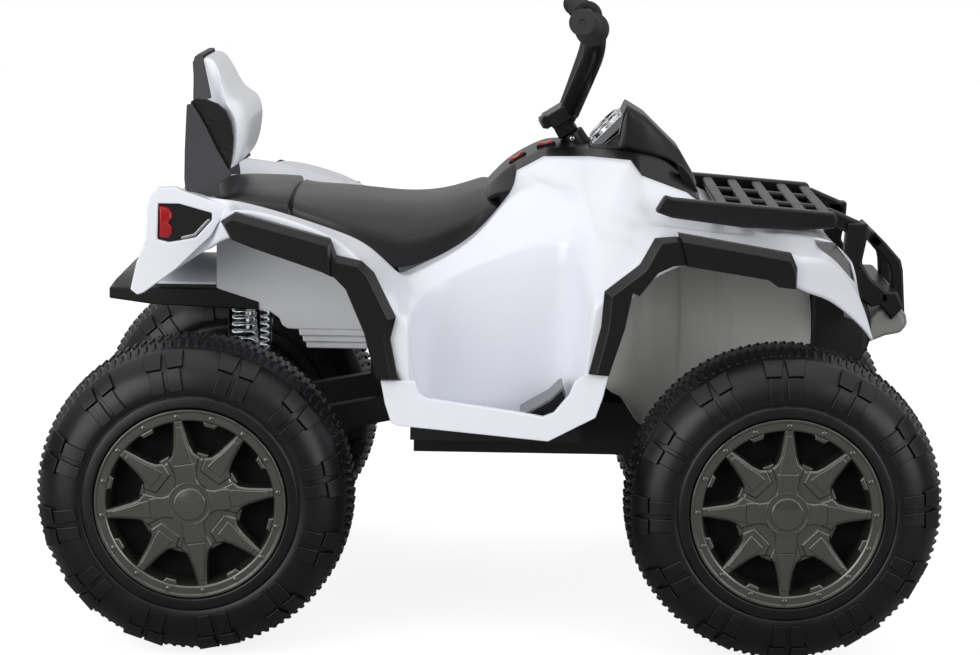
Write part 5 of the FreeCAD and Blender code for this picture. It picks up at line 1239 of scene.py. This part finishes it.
@dataclass
class Dash:
    """Black dash with two rockers, and the instrument cowl."""

    console_rows: tuple = ((-22, 54, 499, 492), (-5, 55, 518, 509), (11, 62, 534, 511.5),
                           (22.5, 64.5, 541.5, 516), (25, 65, 543.2, 536), (31, 66, 547, 541),
                           (54, 67, 559, 552.5), (68, 67, 562, 553), (105, 67, 562.5, 554),
                           (150, 67, 560, 552.5), (162, 67, 558.2, 549), (172, 67, 556.8, 533),
                           (208, 66, 550, 521), (242, 60, 513, 506))
    console_half: float = 101.0
    cowl_rows: tuple = ((111, 54, 563.5, 562), (129, 54, 565, 561), (146, 55, 579, 560), (150, 56, 600, 559.8),
                        (156, 56, 612, 559.5), (178, 54, 599, 555.5), (208, 51, 570, 550),
                        (219, 50, 560, 541), (237, 46, 530, 520), (240, 44, 522, 517))
    cowl_half: float = 64.0
    rockers: tuple = (("power_switch", 26.0, 544.75, 33.02), ("direction_switch", 60.0, 561.29, 12.09))
    rocker_y: float = -30.0
    rocker_frame: tuple = (((-11.5, -8.6, -3.0), (-9.4, 8.6, 1.6)), ((9.4, -8.6, -3.0), (11.5, 8.6, 1.6)),
                           ((-11.5, -8.6, -3.0), (11.5, -6.9, 1.6)), ((-11.5, 6.9, -3.0), (11.5, 8.6, 1.6)))
    collar: tuple = ((-18, 16.4), (3.4, 15.4), (5.0, 14.0), (5.0, 9.6), (-18, 9.6))
    bolt: tuple = ((0, 3.0), (2.0, 3.0), (2.6, 2.4), (2.6, 0.1))
    vent: tuple = ((214, 547), (223, 542), (232, 531), (241, 513), (237, 508), (227, 517), (219, 530))
    dial_ring: tuple = ((2.6, 22.4), (6.4, 21.6), (7.2, 20.2), (6.6, 18.8), (2.6, 18.4))
    stud: tuple = ((0.6, 4.6), (3.2, 4.2), (3.8, 2.6), (3.8, 0.1))

    def console(self) -> None:
        """Makes the dash moulding."""
        side = -self.console_half
        rows = whole_rows([(x, side, edge - 5), (x, side, edge), (x, -half, top - 0.6),
                           (x, -half + 28, top + 0.2)]
                          for x, half, top, edge in self.console_rows)
        draft = Draft()
        draft.grid(rows)
        draft.crease_columns(rows, {1: 0.7, 2: 0.75})
        for row in (3, 4, 10, 11):
            draft.crease_row(rows, row, 0.8, 0, 3)
        soft_sheet(draft, "dash_console_black", [BLACK_TRIM], "dash_console", 3.0)

    def trims(self) -> None:
        """Makes the collar round the steering column, with its bolts, and the vents."""
        collar = Draft()
        collar.lathe(self.collar, 40, COLUMN.translation, COLUMN.col[2][:3])
        for hand in (-1, 1):
            spot = COLUMN @ Vector((-1.3, hand * 14.8, -1.3))
            collar.lathe(self.bolt, 20, spot, (0, hand, 0), tone=1, closed=False)
        hard_piece(collar, "column_collar", (BLACK_TRIM, CHROME), edge=(0.6, 2))
        vents = Draft()
        vents.slab(self.vent, -70.0, -79.0)
        hard_piece(vents.both_sides(), "dash_vents", BLACK_TRIM, edge=(1.4, 3))

    def switches(self) -> None:
        """Makes the rockers, with their frames on the dash."""
        frames = Draft()
        for name, x, z, slope in self.rockers:
            place = Matrix.Translation((x, self.rocker_y, z)) @ Matrix.Rotation(math.radians(-slope), 4, "Y")
            cap = Draft()
            cap.slab([(-8.5, -4.5), (8.5, -4.5), (8.5, 4.5), (0, 2.4), (-8.5, 4.5)], -6.0, 6.0)
            hard_piece(cap.moved(place), f"{name}_cap", RED_SWITCH, name, (0.8, 3, 20), name)
            rim = Draft()
            for low, high in self.rocker_frame:
                rim.box(low, high)
            frames.merge(rim.moved(place))
        hard_piece(frames, "switch_frames", BLACK_TRIM, edge=(0.6, 2))

    def cowl(self) -> None:
        """Makes the cowl that carries the instruments."""
        rows = whole_rows([(x, -self.cowl_half, base), (x, -half, top)] for x, half, top, base in self.cowl_rows)
        draft = Draft()
        draft.grid(rows)
        draft.crease_columns(rows, {1: 0.95})
        for row in (1, 2, 4, 5, 7, 8):
            draft.crease_row(rows, row, 0.95)
        soft_sheet(draft, "dash_cowl_black", [BLACK_TRIM], "dash_cowl", 3.0)

    def instruments(self) -> None:
        """Makes the bright bezel with two dials."""
        foot, head = Vector((113, 0, 562.5)), Vector((153.5, 0, 603))
        rise = (head - foot).normalized()
        out = Vector((-rise.z, 0, rise.x))
        place = Matrix(((rise.x, 0, out.x, foot.x), (0, 1, 0, 0), (rise.z, 0, out.z, foot.z), (0, 0, 0, 1)))
        bezel, dials = Draft(), Draft()
        bezel.box((3, -50, -9.0), (53, 50, 1.0))
        for hand in (-1, 1):
            centre = (28, hand * 25, -2)
            bezel.lathe(self.dial_ring, 48, centre, (0, 0, 1))
            dials.lathe(((2.0, 18.6), (3.6, 18.6), (3.6, 0.1)), 48, centre, (0, 0, 1), closed=False)
            for k in range(9):
                turn = math.radians(-30 + 30 * k)
                spot = Vector(centre) + Vector((math.sin(turn), math.cos(turn), 0)) * 14.6
                dials.box(spot + Vector((-0.8, -0.8, 3.5)), spot + Vector((0.8, 0.8, 3.9)), tone=1)
            dials.box((27.1, hand * 25 - 2.0, 1.5), (28.9, hand * 25 + 13.0, 2.1), tone=2)
            bezel.slab([(3.4, 0.6), (5, 4.4), (8, 4.8), (10, 0.6)], hand * 12.0, hand * 38.0)
        for x in (10, 47):
            bezel.lathe(self.stud, 20, (x, 0, 0), (0, 0, 1), closed=False)
        hard_piece(bezel.moved(place), "gauge_bezel_chrome", CHROME, "gauge_bezel", (0.7, 2))
        hard_piece(dials.moved(place), "gauge_dials_black", (BLACK_TRIM, WHITE_BODY, RED_SWITCH), "gauge_dials")

    def build(self) -> None:
        """Makes the dash, its switches and its instruments."""
        self.console()
        self.trims()
        self.switches()
        self.cowl()
        self.instruments()


@dataclass
class Steering:
    """Handlebar with its yoke, grips and push buttons. The yoke is drawn in the column's own axes."""

    grip_out: tuple = (97, -234, 718)
    grip_in: tuple = (112, -130, 704)
    arm_top: tuple = (113, -84, 672)
    arm_foot: tuple = (86, -24, 597)
    yoke: tuple = ((-14, 22), (16, 22), (20, 26), (20, 34), (13, 40), (-14, 40))
    button_box: tuple = ((-22, 26), (-20, 25), (-13, 25), (-13, 41), (-18, 41), (-22, 38))
    stem: tuple = ((-15, 5.6), (11, 5.6), (10, 14), (15, 16), (16, 23), (-14, 23))
    button_high: float = 33.0

    def bar(self) -> None:
        """Makes the yoke and the two swept arms."""
        draft = Draft()
        path = eased([self.arm_foot, (104, -62, 645), self.arm_top, (115, -104, 693), self.grip_in,
                      (104.8, -180, 711.7), self.grip_out], 8)
        draft.tube(path, soft_section(10.6, 10.6, 5.5))
        draft.both_sides()
        middle = Draft()
        middle.slab(self.yoke, -40.0, 40.0)
        middle.slab(self.stem, -16.0, 16.0)
        middle.slab(self.button_box, -30.0, 30.0)
        draft.merge(middle.moved(COLUMN))
        hard_piece(draft, "handlebar_black", BLACK_TRIM, "handlebar", (1.6, 3), "steering")

    def grips(self) -> None:
        """Makes the ribbed grips with their flanges and end caps."""
        draft = Draft()
        inner, outer = Vector(self.grip_in), Vector(self.grip_out)
        along = (outer - inner).normalized()
        start = inner + along * 14
        length = (outer - inner).length - 14 + 4
        profile = [(0.0, 11.2), (0.0, 17.4), (1.0, 20.0), (3.6, 20.0), (5.0, 17.4), (6.0, 14.6)]
        ribs = 12
        for k in range(ribs):
            at = 9.0 + (length - 22.0) * k / (ribs - 1)
            profile += [(at - 1.8, 14.0), (at - 1.0, 15.0), (at + 1.0, 15.0), (at + 1.8, 14.0)]
        cap = ((8.0, 14.2), (7.0, 15.2), (1.2, 15.5), (0.0, 14.4), (0.0, 3.6), (1.0, 3.0), (1.0, 0.1))
        profile += [(length - back, radius) for back, radius in cap]
        draft.lathe(profile, 40, start, along, closed=False)
        hard_piece(draft.both_sides(), "grips_black", GRIP_RUBBER, "grips", (0.5, 2), "steering")

    def buttons(self) -> None:
        """Makes the two push buttons on the yoke."""
        for name, hand in (("horn_button", -1), ("music_button", 1)):
            draft = Draft()
            draft.lathe(((0.0, 0.1), (0.0, 4.2), (0.5, 6.2), (1.6, 7.0), (7.0, 7.0), (7.0, 0.1)), 28,
                        (-25, hand * 15, self.button_high), (1, 0, 0), closed=False)
            hard_piece(draft.moved(COLUMN), f"{name}_cap", GREY_BUTTON, name, (0.4, 2), name)

    def build(self) -> None:
        """Makes everything that turns with the bar."""
        self.bar()
        self.grips()
        self.buttons()


@dataclass
class RackAndBumpers:
    """Front rack, front bumper and rear bumper."""

    rail: tuple = ((186, 498), (197, 517), (207, 514), (395, 500), (398, 492), (397, 482), (349, 479),
                   (288, 481), (206, 491))
    slats: tuple = ((266, 506.6), (297, 504.3), (328, 502), (359, 499.7), (388, 497.5))
    strut: tuple = ((414, 483), (439, 483), (438, 463), (433, 436), (444, 418), (465, 401), (468, 391),
                    (446, 383), (428, 397), (417, 421), (411.5, 443))
    hoop: tuple = ((453, 467), (467, 454), (486, 433), (489, 421), (493, 368), (478, 368), (474, 418),
                   (472, 427), (456, 445), (446, 456))
    rear_side: tuple = ((-452, 381), (-452, 394), (-446, 402), (-434, 407), (-326, 407.5), (-276, 379),
                        (-276, 370), (-398, 374))
    spring_cap: tuple = ((0, 20.2), (3, 20.2), (4.5, 17.0), (14, 16.0), (14, 0.1))

    def rack(self) -> None:
        """Makes the rack's side rails, slats and brace."""
        draft = Draft()
        draft.slab(self.rail, -151.0, -169.0)
        draft.both_sides()
        for x, top in self.slats:
            draft.slab([(x - 7, top - 9), (x + 7, top - 9), (x + 7, top), (x - 7, top)], -160.0, 160.0)
        for hand in (-1, 1):
            draft.slab([(262, 496), (392, 487), (392, 496), (262, 505.5)], hand * 46.0, hand * 60.0)
            draft.slab([(392, 500), (430, 484), (440, 472), (424, 464), (392, 484)], hand * 100.0, hand * 118.0)
        draft.slab([(228, 484), (394, 475), (394, 484), (228, 493.5)], -126.0, 126.0)
        hard_piece(draft, "front_rack_black", BLACK_TRIM, "front_rack", (3.6, 3))

    def front_bumper(self) -> None:
        """Makes the bumper's struts, hoop and cross bars."""
        draft = Draft()
        draft.slab(self.strut, -100.0, -122.0)
        draft.slab(self.hoop, -50.0, -68.0)
        draft.both_sides()
        draft.slab([(453, 467), (467, 454), (456, 445), (446, 456)], -68.0, 68.0)
        draft.slab([(456, 402), (476, 402), (484, 384), (470, 368), (456, 386)], -122.0, 122.0)
        hard_piece(draft, "front_bumper_black", BLACK_TRIM, "front_bumper", (3.0, 3))

    def rear_bumper(self) -> None:
        """Makes the rear bumper with the caps of the springs under it."""
        draft = Draft()
        stations = ((-130, 394), (-112, 402), (-60, 408), (60, 408), (112, 402), (130, 394))
        draft.loft([[(x, y, min(z, top)) for x, z in self.rear_side] for y, top in stations])
        for hand in (-1, 1):
            draft.lathe(self.spring_cap, 32, (-297, hand * 84, 366), (0, 0, 1), closed=False)
        hard_piece(draft, "rear_bumper_black", BLACK_TRIM, "rear_bumper", (3.0, 3))

    def build(self) -> None:
        """Makes the rack and the bumpers."""
        self.rack()
        self.front_bumper()
        self.rear_bumper()


@dataclass
class Lamps:
    """Headlights in the nose and tail lamps in their frames."""

    corners: tuple = ((368, -225, 467), (384, -226, 458), (416, -198, 421), (416, -154, 442), (394, -182, 468),
                      (371, -186, 472))
    window: tuple = ((-382, 509), (-356, 509), (-317, 498), (-317, 488), (-336, 467), (-356, 463), (-368, 461),
                     (-383, 464))
    lens: tuple = ((-379, 505), (-369, 503), (-364, 497), (-364, 490), (-368, 485), (-364, 480), (-364, 473),
                   (-369, 467), (-379, 468))
    trim: tuple = ((-354, 466.4), (-338, 470.2), (-320.5, 489.4), (-323.4, 490.2), (-339.6, 473.0),
                   (-354, 469.2))

    def head_layer(self, inset: float, thick: float, share: float) -> Draft:
        """Draws one layer of the headlights.

        Args:
            inset: how far it lies inside the body's face.
            thick: its thickness.
            share: its share of the opening.

        Returns:
            The layer on both sides.
        """
        ring = [Vector(corner) for corner in self.corners]
        middle = sum(ring, Vector()) / len(ring)
        normal = (ring[2] - ring[5]).cross(ring[3] - ring[0]).normalized()
        if normal.x < 0:
            normal.negate()
        face = [middle + (corner - middle) * share - normal * inset for corner in ring]
        draft = Draft()
        draft.loft([face, [corner - normal * thick for corner in face]])
        return draft.both_sides()

    def head(self) -> None:
        """Makes the lenses and housings."""
        edge = (2.0, 3)
        lens, housing = self.head_layer(2.4, 4.0, 1.0), self.head_layer(6.8, 16.0, 0.9)
        hard_piece(lens, "headlight_lenses_smoked", SMOKED_LENS, "headlight_lenses", edge)
        hard_piece(housing, "headlight_housings_black", BLACK_TRIM, "headlight_housings", edge)

    def tail(self) -> None:
        """Makes the cases, bright trims and red lenses."""
        case, lens, trim = Draft(), Draft(), Draft()
        case.slab(self.window, -229.0, -236.0)
        hard_piece(case.both_sides(), "tail_lamp_cases_black", BLACK_TRIM, "tail_lamp_cases", (0.6, 2))
        stations = ((-235.0, 1.0), (-237.6, 0.98), (-239.4, 0.88), (-240.4, 0.7))
        lens.loft(scaled_rings(self.lens, Vector((-374, 0, 486)), stations))
        hard_piece(lens.both_sides(), "tail_lamp_lenses_red", RED_LENS, "tail_lamp_lenses", (0.8, 2, 20))
        trim.slab(self.trim, -235.4, -239.0)
        hard_piece(trim.both_sides(), "tail_lamp_trims", CHROME, edge=(0.5, 2))

    def build(self) -> None:
        """Makes all four lamps."""
        self.head()
        self.tail()


@dataclass
class Suspension:
    """Bright rear springs in clear sleeves."""

    x: float = -297.0
    y: float = 84.0
    low: float = 233.0
    high: float = 366.0
    radius: float = 14.0
    wire: float = 3.0
    turns: int = 16
    keep: float = 0.903
    sleeve: tuple = ((0, 17.8), (0, 19.0), (95, 19.0), (95, 17.8))
    sleeve_foot: float = 270.5

    def springs(self) -> None:
        """Makes both coils at one length; the real coils shorten as the rear axle rises."""
        draft = Draft()
        steps = 20
        inset = 0.3 + self.wire / 2
        pitch = (self.high - self.low - 2 * inset) / (self.turns * steps)
        for hand in (-1, 1):
            path = []
            for k in range(self.turns * steps + 1):
                turn = math.tau * k / steps
                ahead, left = self.radius * math.cos(turn), self.radius * math.sin(turn)
                path.append((self.x + ahead, hand * self.y + left, self.low + inset + pitch * k))
            draft.tube(path, ring_section(self.wire / 2, 8))
        made = hard_piece(draft, "shock_springs_chrome", CHROME, "shock_springs")
        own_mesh(made)

    def sleeves(self) -> None:
        """Makes the clear sleeves."""
        draft = Draft()
        for hand in (-1, 1):
            foot = (self.x, hand * self.y, self.sleeve_foot)
            draft.lathe(self.sleeve, 48, foot, (0, 0, 1))
        hard_piece(draft, "shock_sleeves_clear", CLEAR_SLEEVE, "shock_sleeves")

    def build(self) -> None:
        """Makes the springs and sleeves."""
        self.springs()
        self.sleeves()


@dataclass
class Pedal:
    """Accelerator pedal on the right footboard."""

    base_side: tuple = ((30, 252.2), (92, 252.2), (92, 258), (46, 258), (46, 261), (30, 261))
    pedal_side: tuple = ((34, 262), (40, 261.5), (52, 264), (77, 273), (86, 290), (81, 305), (68, 292),
                         (34.5, 272))
    tread: tuple = ((33.2, 273.6), (67, 293.8), (80, 307), (82.6, 304.6), (69.2, 291.2), (35.4, 271))
    low: float = -262.0
    high: float = -198.0

    def build(self) -> None:
        """Makes the base, and the pedal with its silver tread."""
        base, pedal = Draft(), Draft()
        base.slab(self.base_side, self.low, self.high)
        hard_piece(base, "pedal_base_black", BLACK_TRIM, "pedal_base", (1.0, 2))
        pedal.slab(self.pedal_side, self.low, self.high)
        pedal.slab(self.tread, self.low - 0.5, self.high + 0.5, tone=1)
        hard_piece(pedal, "foot_pedal_black", (BLACK_TRIM, SILVER_FOIL), "foot_pedal", (0.8, 2),
                   "accelerator_pedal")


@dataclass
class HiddenWorks:
    """The chassis and the mechanical pieces, which keep their CAD shapes."""

    black: tuple = ("chassis_frame", "swing_arm", "gearboxes", "control_box", "knuckle_left", "knuckle_right",
                    "tie_bar")
    steel: tuple = ("pivot_rod", "kingpins", "rear_axle", "rear_axle_nuts", "front_nut_left", "front_nut_right",
                    "steering_column", "motors")
    cases: tuple = ("battery",)

    def dress(self) -> None:
        """Gives each node its finish."""
        finishes = ((self.black, BLACK_CHASSIS), (self.steel, ZINC_STEEL), (self.cases, BATTERY_CASE))
        for nodes, finish in finishes:
            for node in nodes:
                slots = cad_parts[node].data.materials
                slots.clear()
                slots.append(finish.material())
                LOG.info("%s is dressed in %s", node, finish.name)


@dataclass
class Studio:
    """Pale floor, soft light and the photograph's camera."""

    eye: tuple = (0.0281, -3.4417, 0.8835)
    right: tuple = (0.99982, 0.01176, 0.01493)
    above: tuple = (-0.0166, 0.15789, 0.98732)
    ahead: tuple = (-0.00926, 0.98739, -0.15805)
    focal_px: float = 2846.5
    width_px: float = 980.0
    sensor_mm: float = 36.0
    backdrop: str = "#FFFFFF"
    floor_bounce: str = "#9C9C9C"
    ambient: float = 0.58
    dim_room: float = 0.13
    sweep_behind: float = 0.45
    sweep_from: float = 0.1
    sweep_to: float = 0.8
    floor_glow: float = 1.4
    glow_share: float = 0.6
    # Name, place, aim, size and power of each lamp, in metres and watts.
    lamps: tuple = (("key_softbox", (-2.6, -3.2, 1.45), (0.0, 0.0, 0.35), 3.2, 92.0),
                    ("top_softbox", (0.0, -0.7, 3.1), (0.0, 0.0, 0.2), 2.6, 8.0),
                    ("front_fill", (2.9, -2.6, 1.3), (0.2, 0.0, 0.4), 2.4, 42.0))

    def camera(self) -> None:
        """Makes the camera at the photograph's angle."""
        lens = bpy.data.cameras.new("photo_camera")
        lens.sensor_width = self.sensor_mm
        lens.sensor_fit = "HORIZONTAL"
        lens.lens = self.focal_px / self.width_px * self.sensor_mm
        made = bpy.data.objects.new("photo_camera", lens)
        columns = zip(self.right, self.above, (-c for c in self.ahead), self.eye)
        made.matrix_world = Matrix([list(row) for row in columns] + [[0, 0, 0, 1]])
        bpy.context.scene.collection.objects.link(made)
        bpy.context.scene.camera = made

    def lamp(self, name: str, place: Point, aim: Point, size: float, watts: float) -> None:
        """Adds a soft square lamp.

        Args:
            name: its name.
            place: where it stands, in metres.
            aim: what it points at.
            size: side of the square in metres.
            watts: its power.
        """
        light = bpy.data.lights.new(name, "AREA")
        light.size = size
        light.energy = watts
        made = bpy.data.objects.new(name, light)
        made.location = place
        made.rotation_euler = (Vector(aim) - Vector(place)).to_track_quat("-Z", "Y").to_euler()
        bpy.context.scene.collection.objects.link(made)

    def world(self) -> None:
        """Makes the sky: white to the eye, and in mirrors a white sweep with a dim room in front."""
        sky = bpy.data.worlds.new("studio_sky")
        sky.use_nodes = True
        bpy.context.scene.world = sky
        tree = sky.node_tree
        tree.nodes.clear()
        place = add_node(tree, "ShaderNodeTexCoord").outputs["Generated"]
        way = add_node(tree, "ShaderNodeSeparateXYZ", None, {0: place})
        behind = add_node(tree, "ShaderNodeMath", {"operation": "MULTIPLY"},
                          {0: way.outputs["Y"], 1: self.sweep_behind})
        lift = add_node(tree, "ShaderNodeMath", {"operation": "MAXIMUM"},
                        {0: behind.outputs[0], 1: way.outputs["Z"]})
        sweep = add_node(tree, "ShaderNodeMapRange", None, {
            "Value": lift.outputs[0], "From Min": self.sweep_from, "From Max": self.sweep_to,
            "To Min": self.dim_room, "To Max": 1.0})
        mirror = add_node(tree, "ShaderNodeLightPath").outputs["Is Glossy Ray"]
        around = add_node(tree, "ShaderNodeMix", None, {0: mirror, 2: self.ambient, 3: sweep.outputs[0]})
        strength = add_node(tree, "ShaderNodeMix", None,
                            {0: self.seen_directly(tree), 2: around.outputs[0], 3: 1.0})
        shade = add_node(tree, "ShaderNodeBackground", None,
                         {"Color": linear(self.backdrop), "Strength": strength.outputs[0]})
        add_node(tree, "ShaderNodeOutputWorld", None, {"Surface": shade.outputs[0]})

    def seen_directly(self, tree: bpy.types.NodeTree) -> bpy.types.NodeSocket:
        """Returns 1 for rays from the camera and through glass."""
        path = add_node(tree, "ShaderNodeLightPath")
        either = add_node(tree, "ShaderNodeMath", {"operation": "MAXIMUM"},
                          {0: path.outputs["Is Camera Ray"], 1: path.outputs["Is Transmission Ray"]})
        return either.outputs[0]

    def floor(self) -> None:
        """Makes the pale floor, which keeps the shadow."""
        draft = Draft()
        reach = 9000.0
        draft.grid([[(-reach, -reach, 0), (-reach, reach, 0)], [(reach, -reach, 0), (reach, reach, 0)]])
        made = draft.piece("pale_floor", closed=False)
        made.data.flip_normals()
        shade = bpy.data.materials.new("floor_matt_white")
        shade.use_nodes = True
        tree = shade.node_tree
        tree.nodes.clear()
        seen = self.seen_directly(tree)
        tint = add_node(tree, "ShaderNodeMix", {"data_type": "RGBA"},
                        {0: seen, 6: linear(self.floor_bounce), 7: linear(self.backdrop)})
        matt = add_node(tree, "ShaderNodeBsdfDiffuse", None, {"Color": tint.outputs[2]})
        glow = add_node(tree, "ShaderNodeEmission", None,
                        {"Color": linear(self.backdrop), "Strength": self.floor_glow})
        share = add_node(tree, "ShaderNodeMath", {"operation": "MULTIPLY"}, {0: seen, 1: self.glow_share})
        mix = add_node(tree, "ShaderNodeMixShader", None,
                       {0: share.outputs[0], 1: matt.outputs[0], 2: glow.outputs[0]})
        add_node(tree, "ShaderNodeOutputMaterial", None, {"Surface": mix.outputs[0]})
        made.data.materials.append(shade)

    def build(self) -> None:
        """Sets up the studio."""
        bpy.context.scene.view_settings.view_transform = "Standard"
        self.camera()
        self.world()
        self.floor()
        for lamp in self.lamps:
            self.lamp(*lamp)


def main() -> None:
    """Builds the quad bike and its studio."""
    logging.basicConfig(level=logging.INFO)
    Studio().build()
    for assembly in (Wheels, WhiteBody, BlackFlares, SeatAndBackrest, Dash, Steering, RackAndBumpers, Lamps,
                     Suspension, Pedal):
        assembly().build()
    HiddenWorks().dress()


if __name__ == "__main__":
    main()
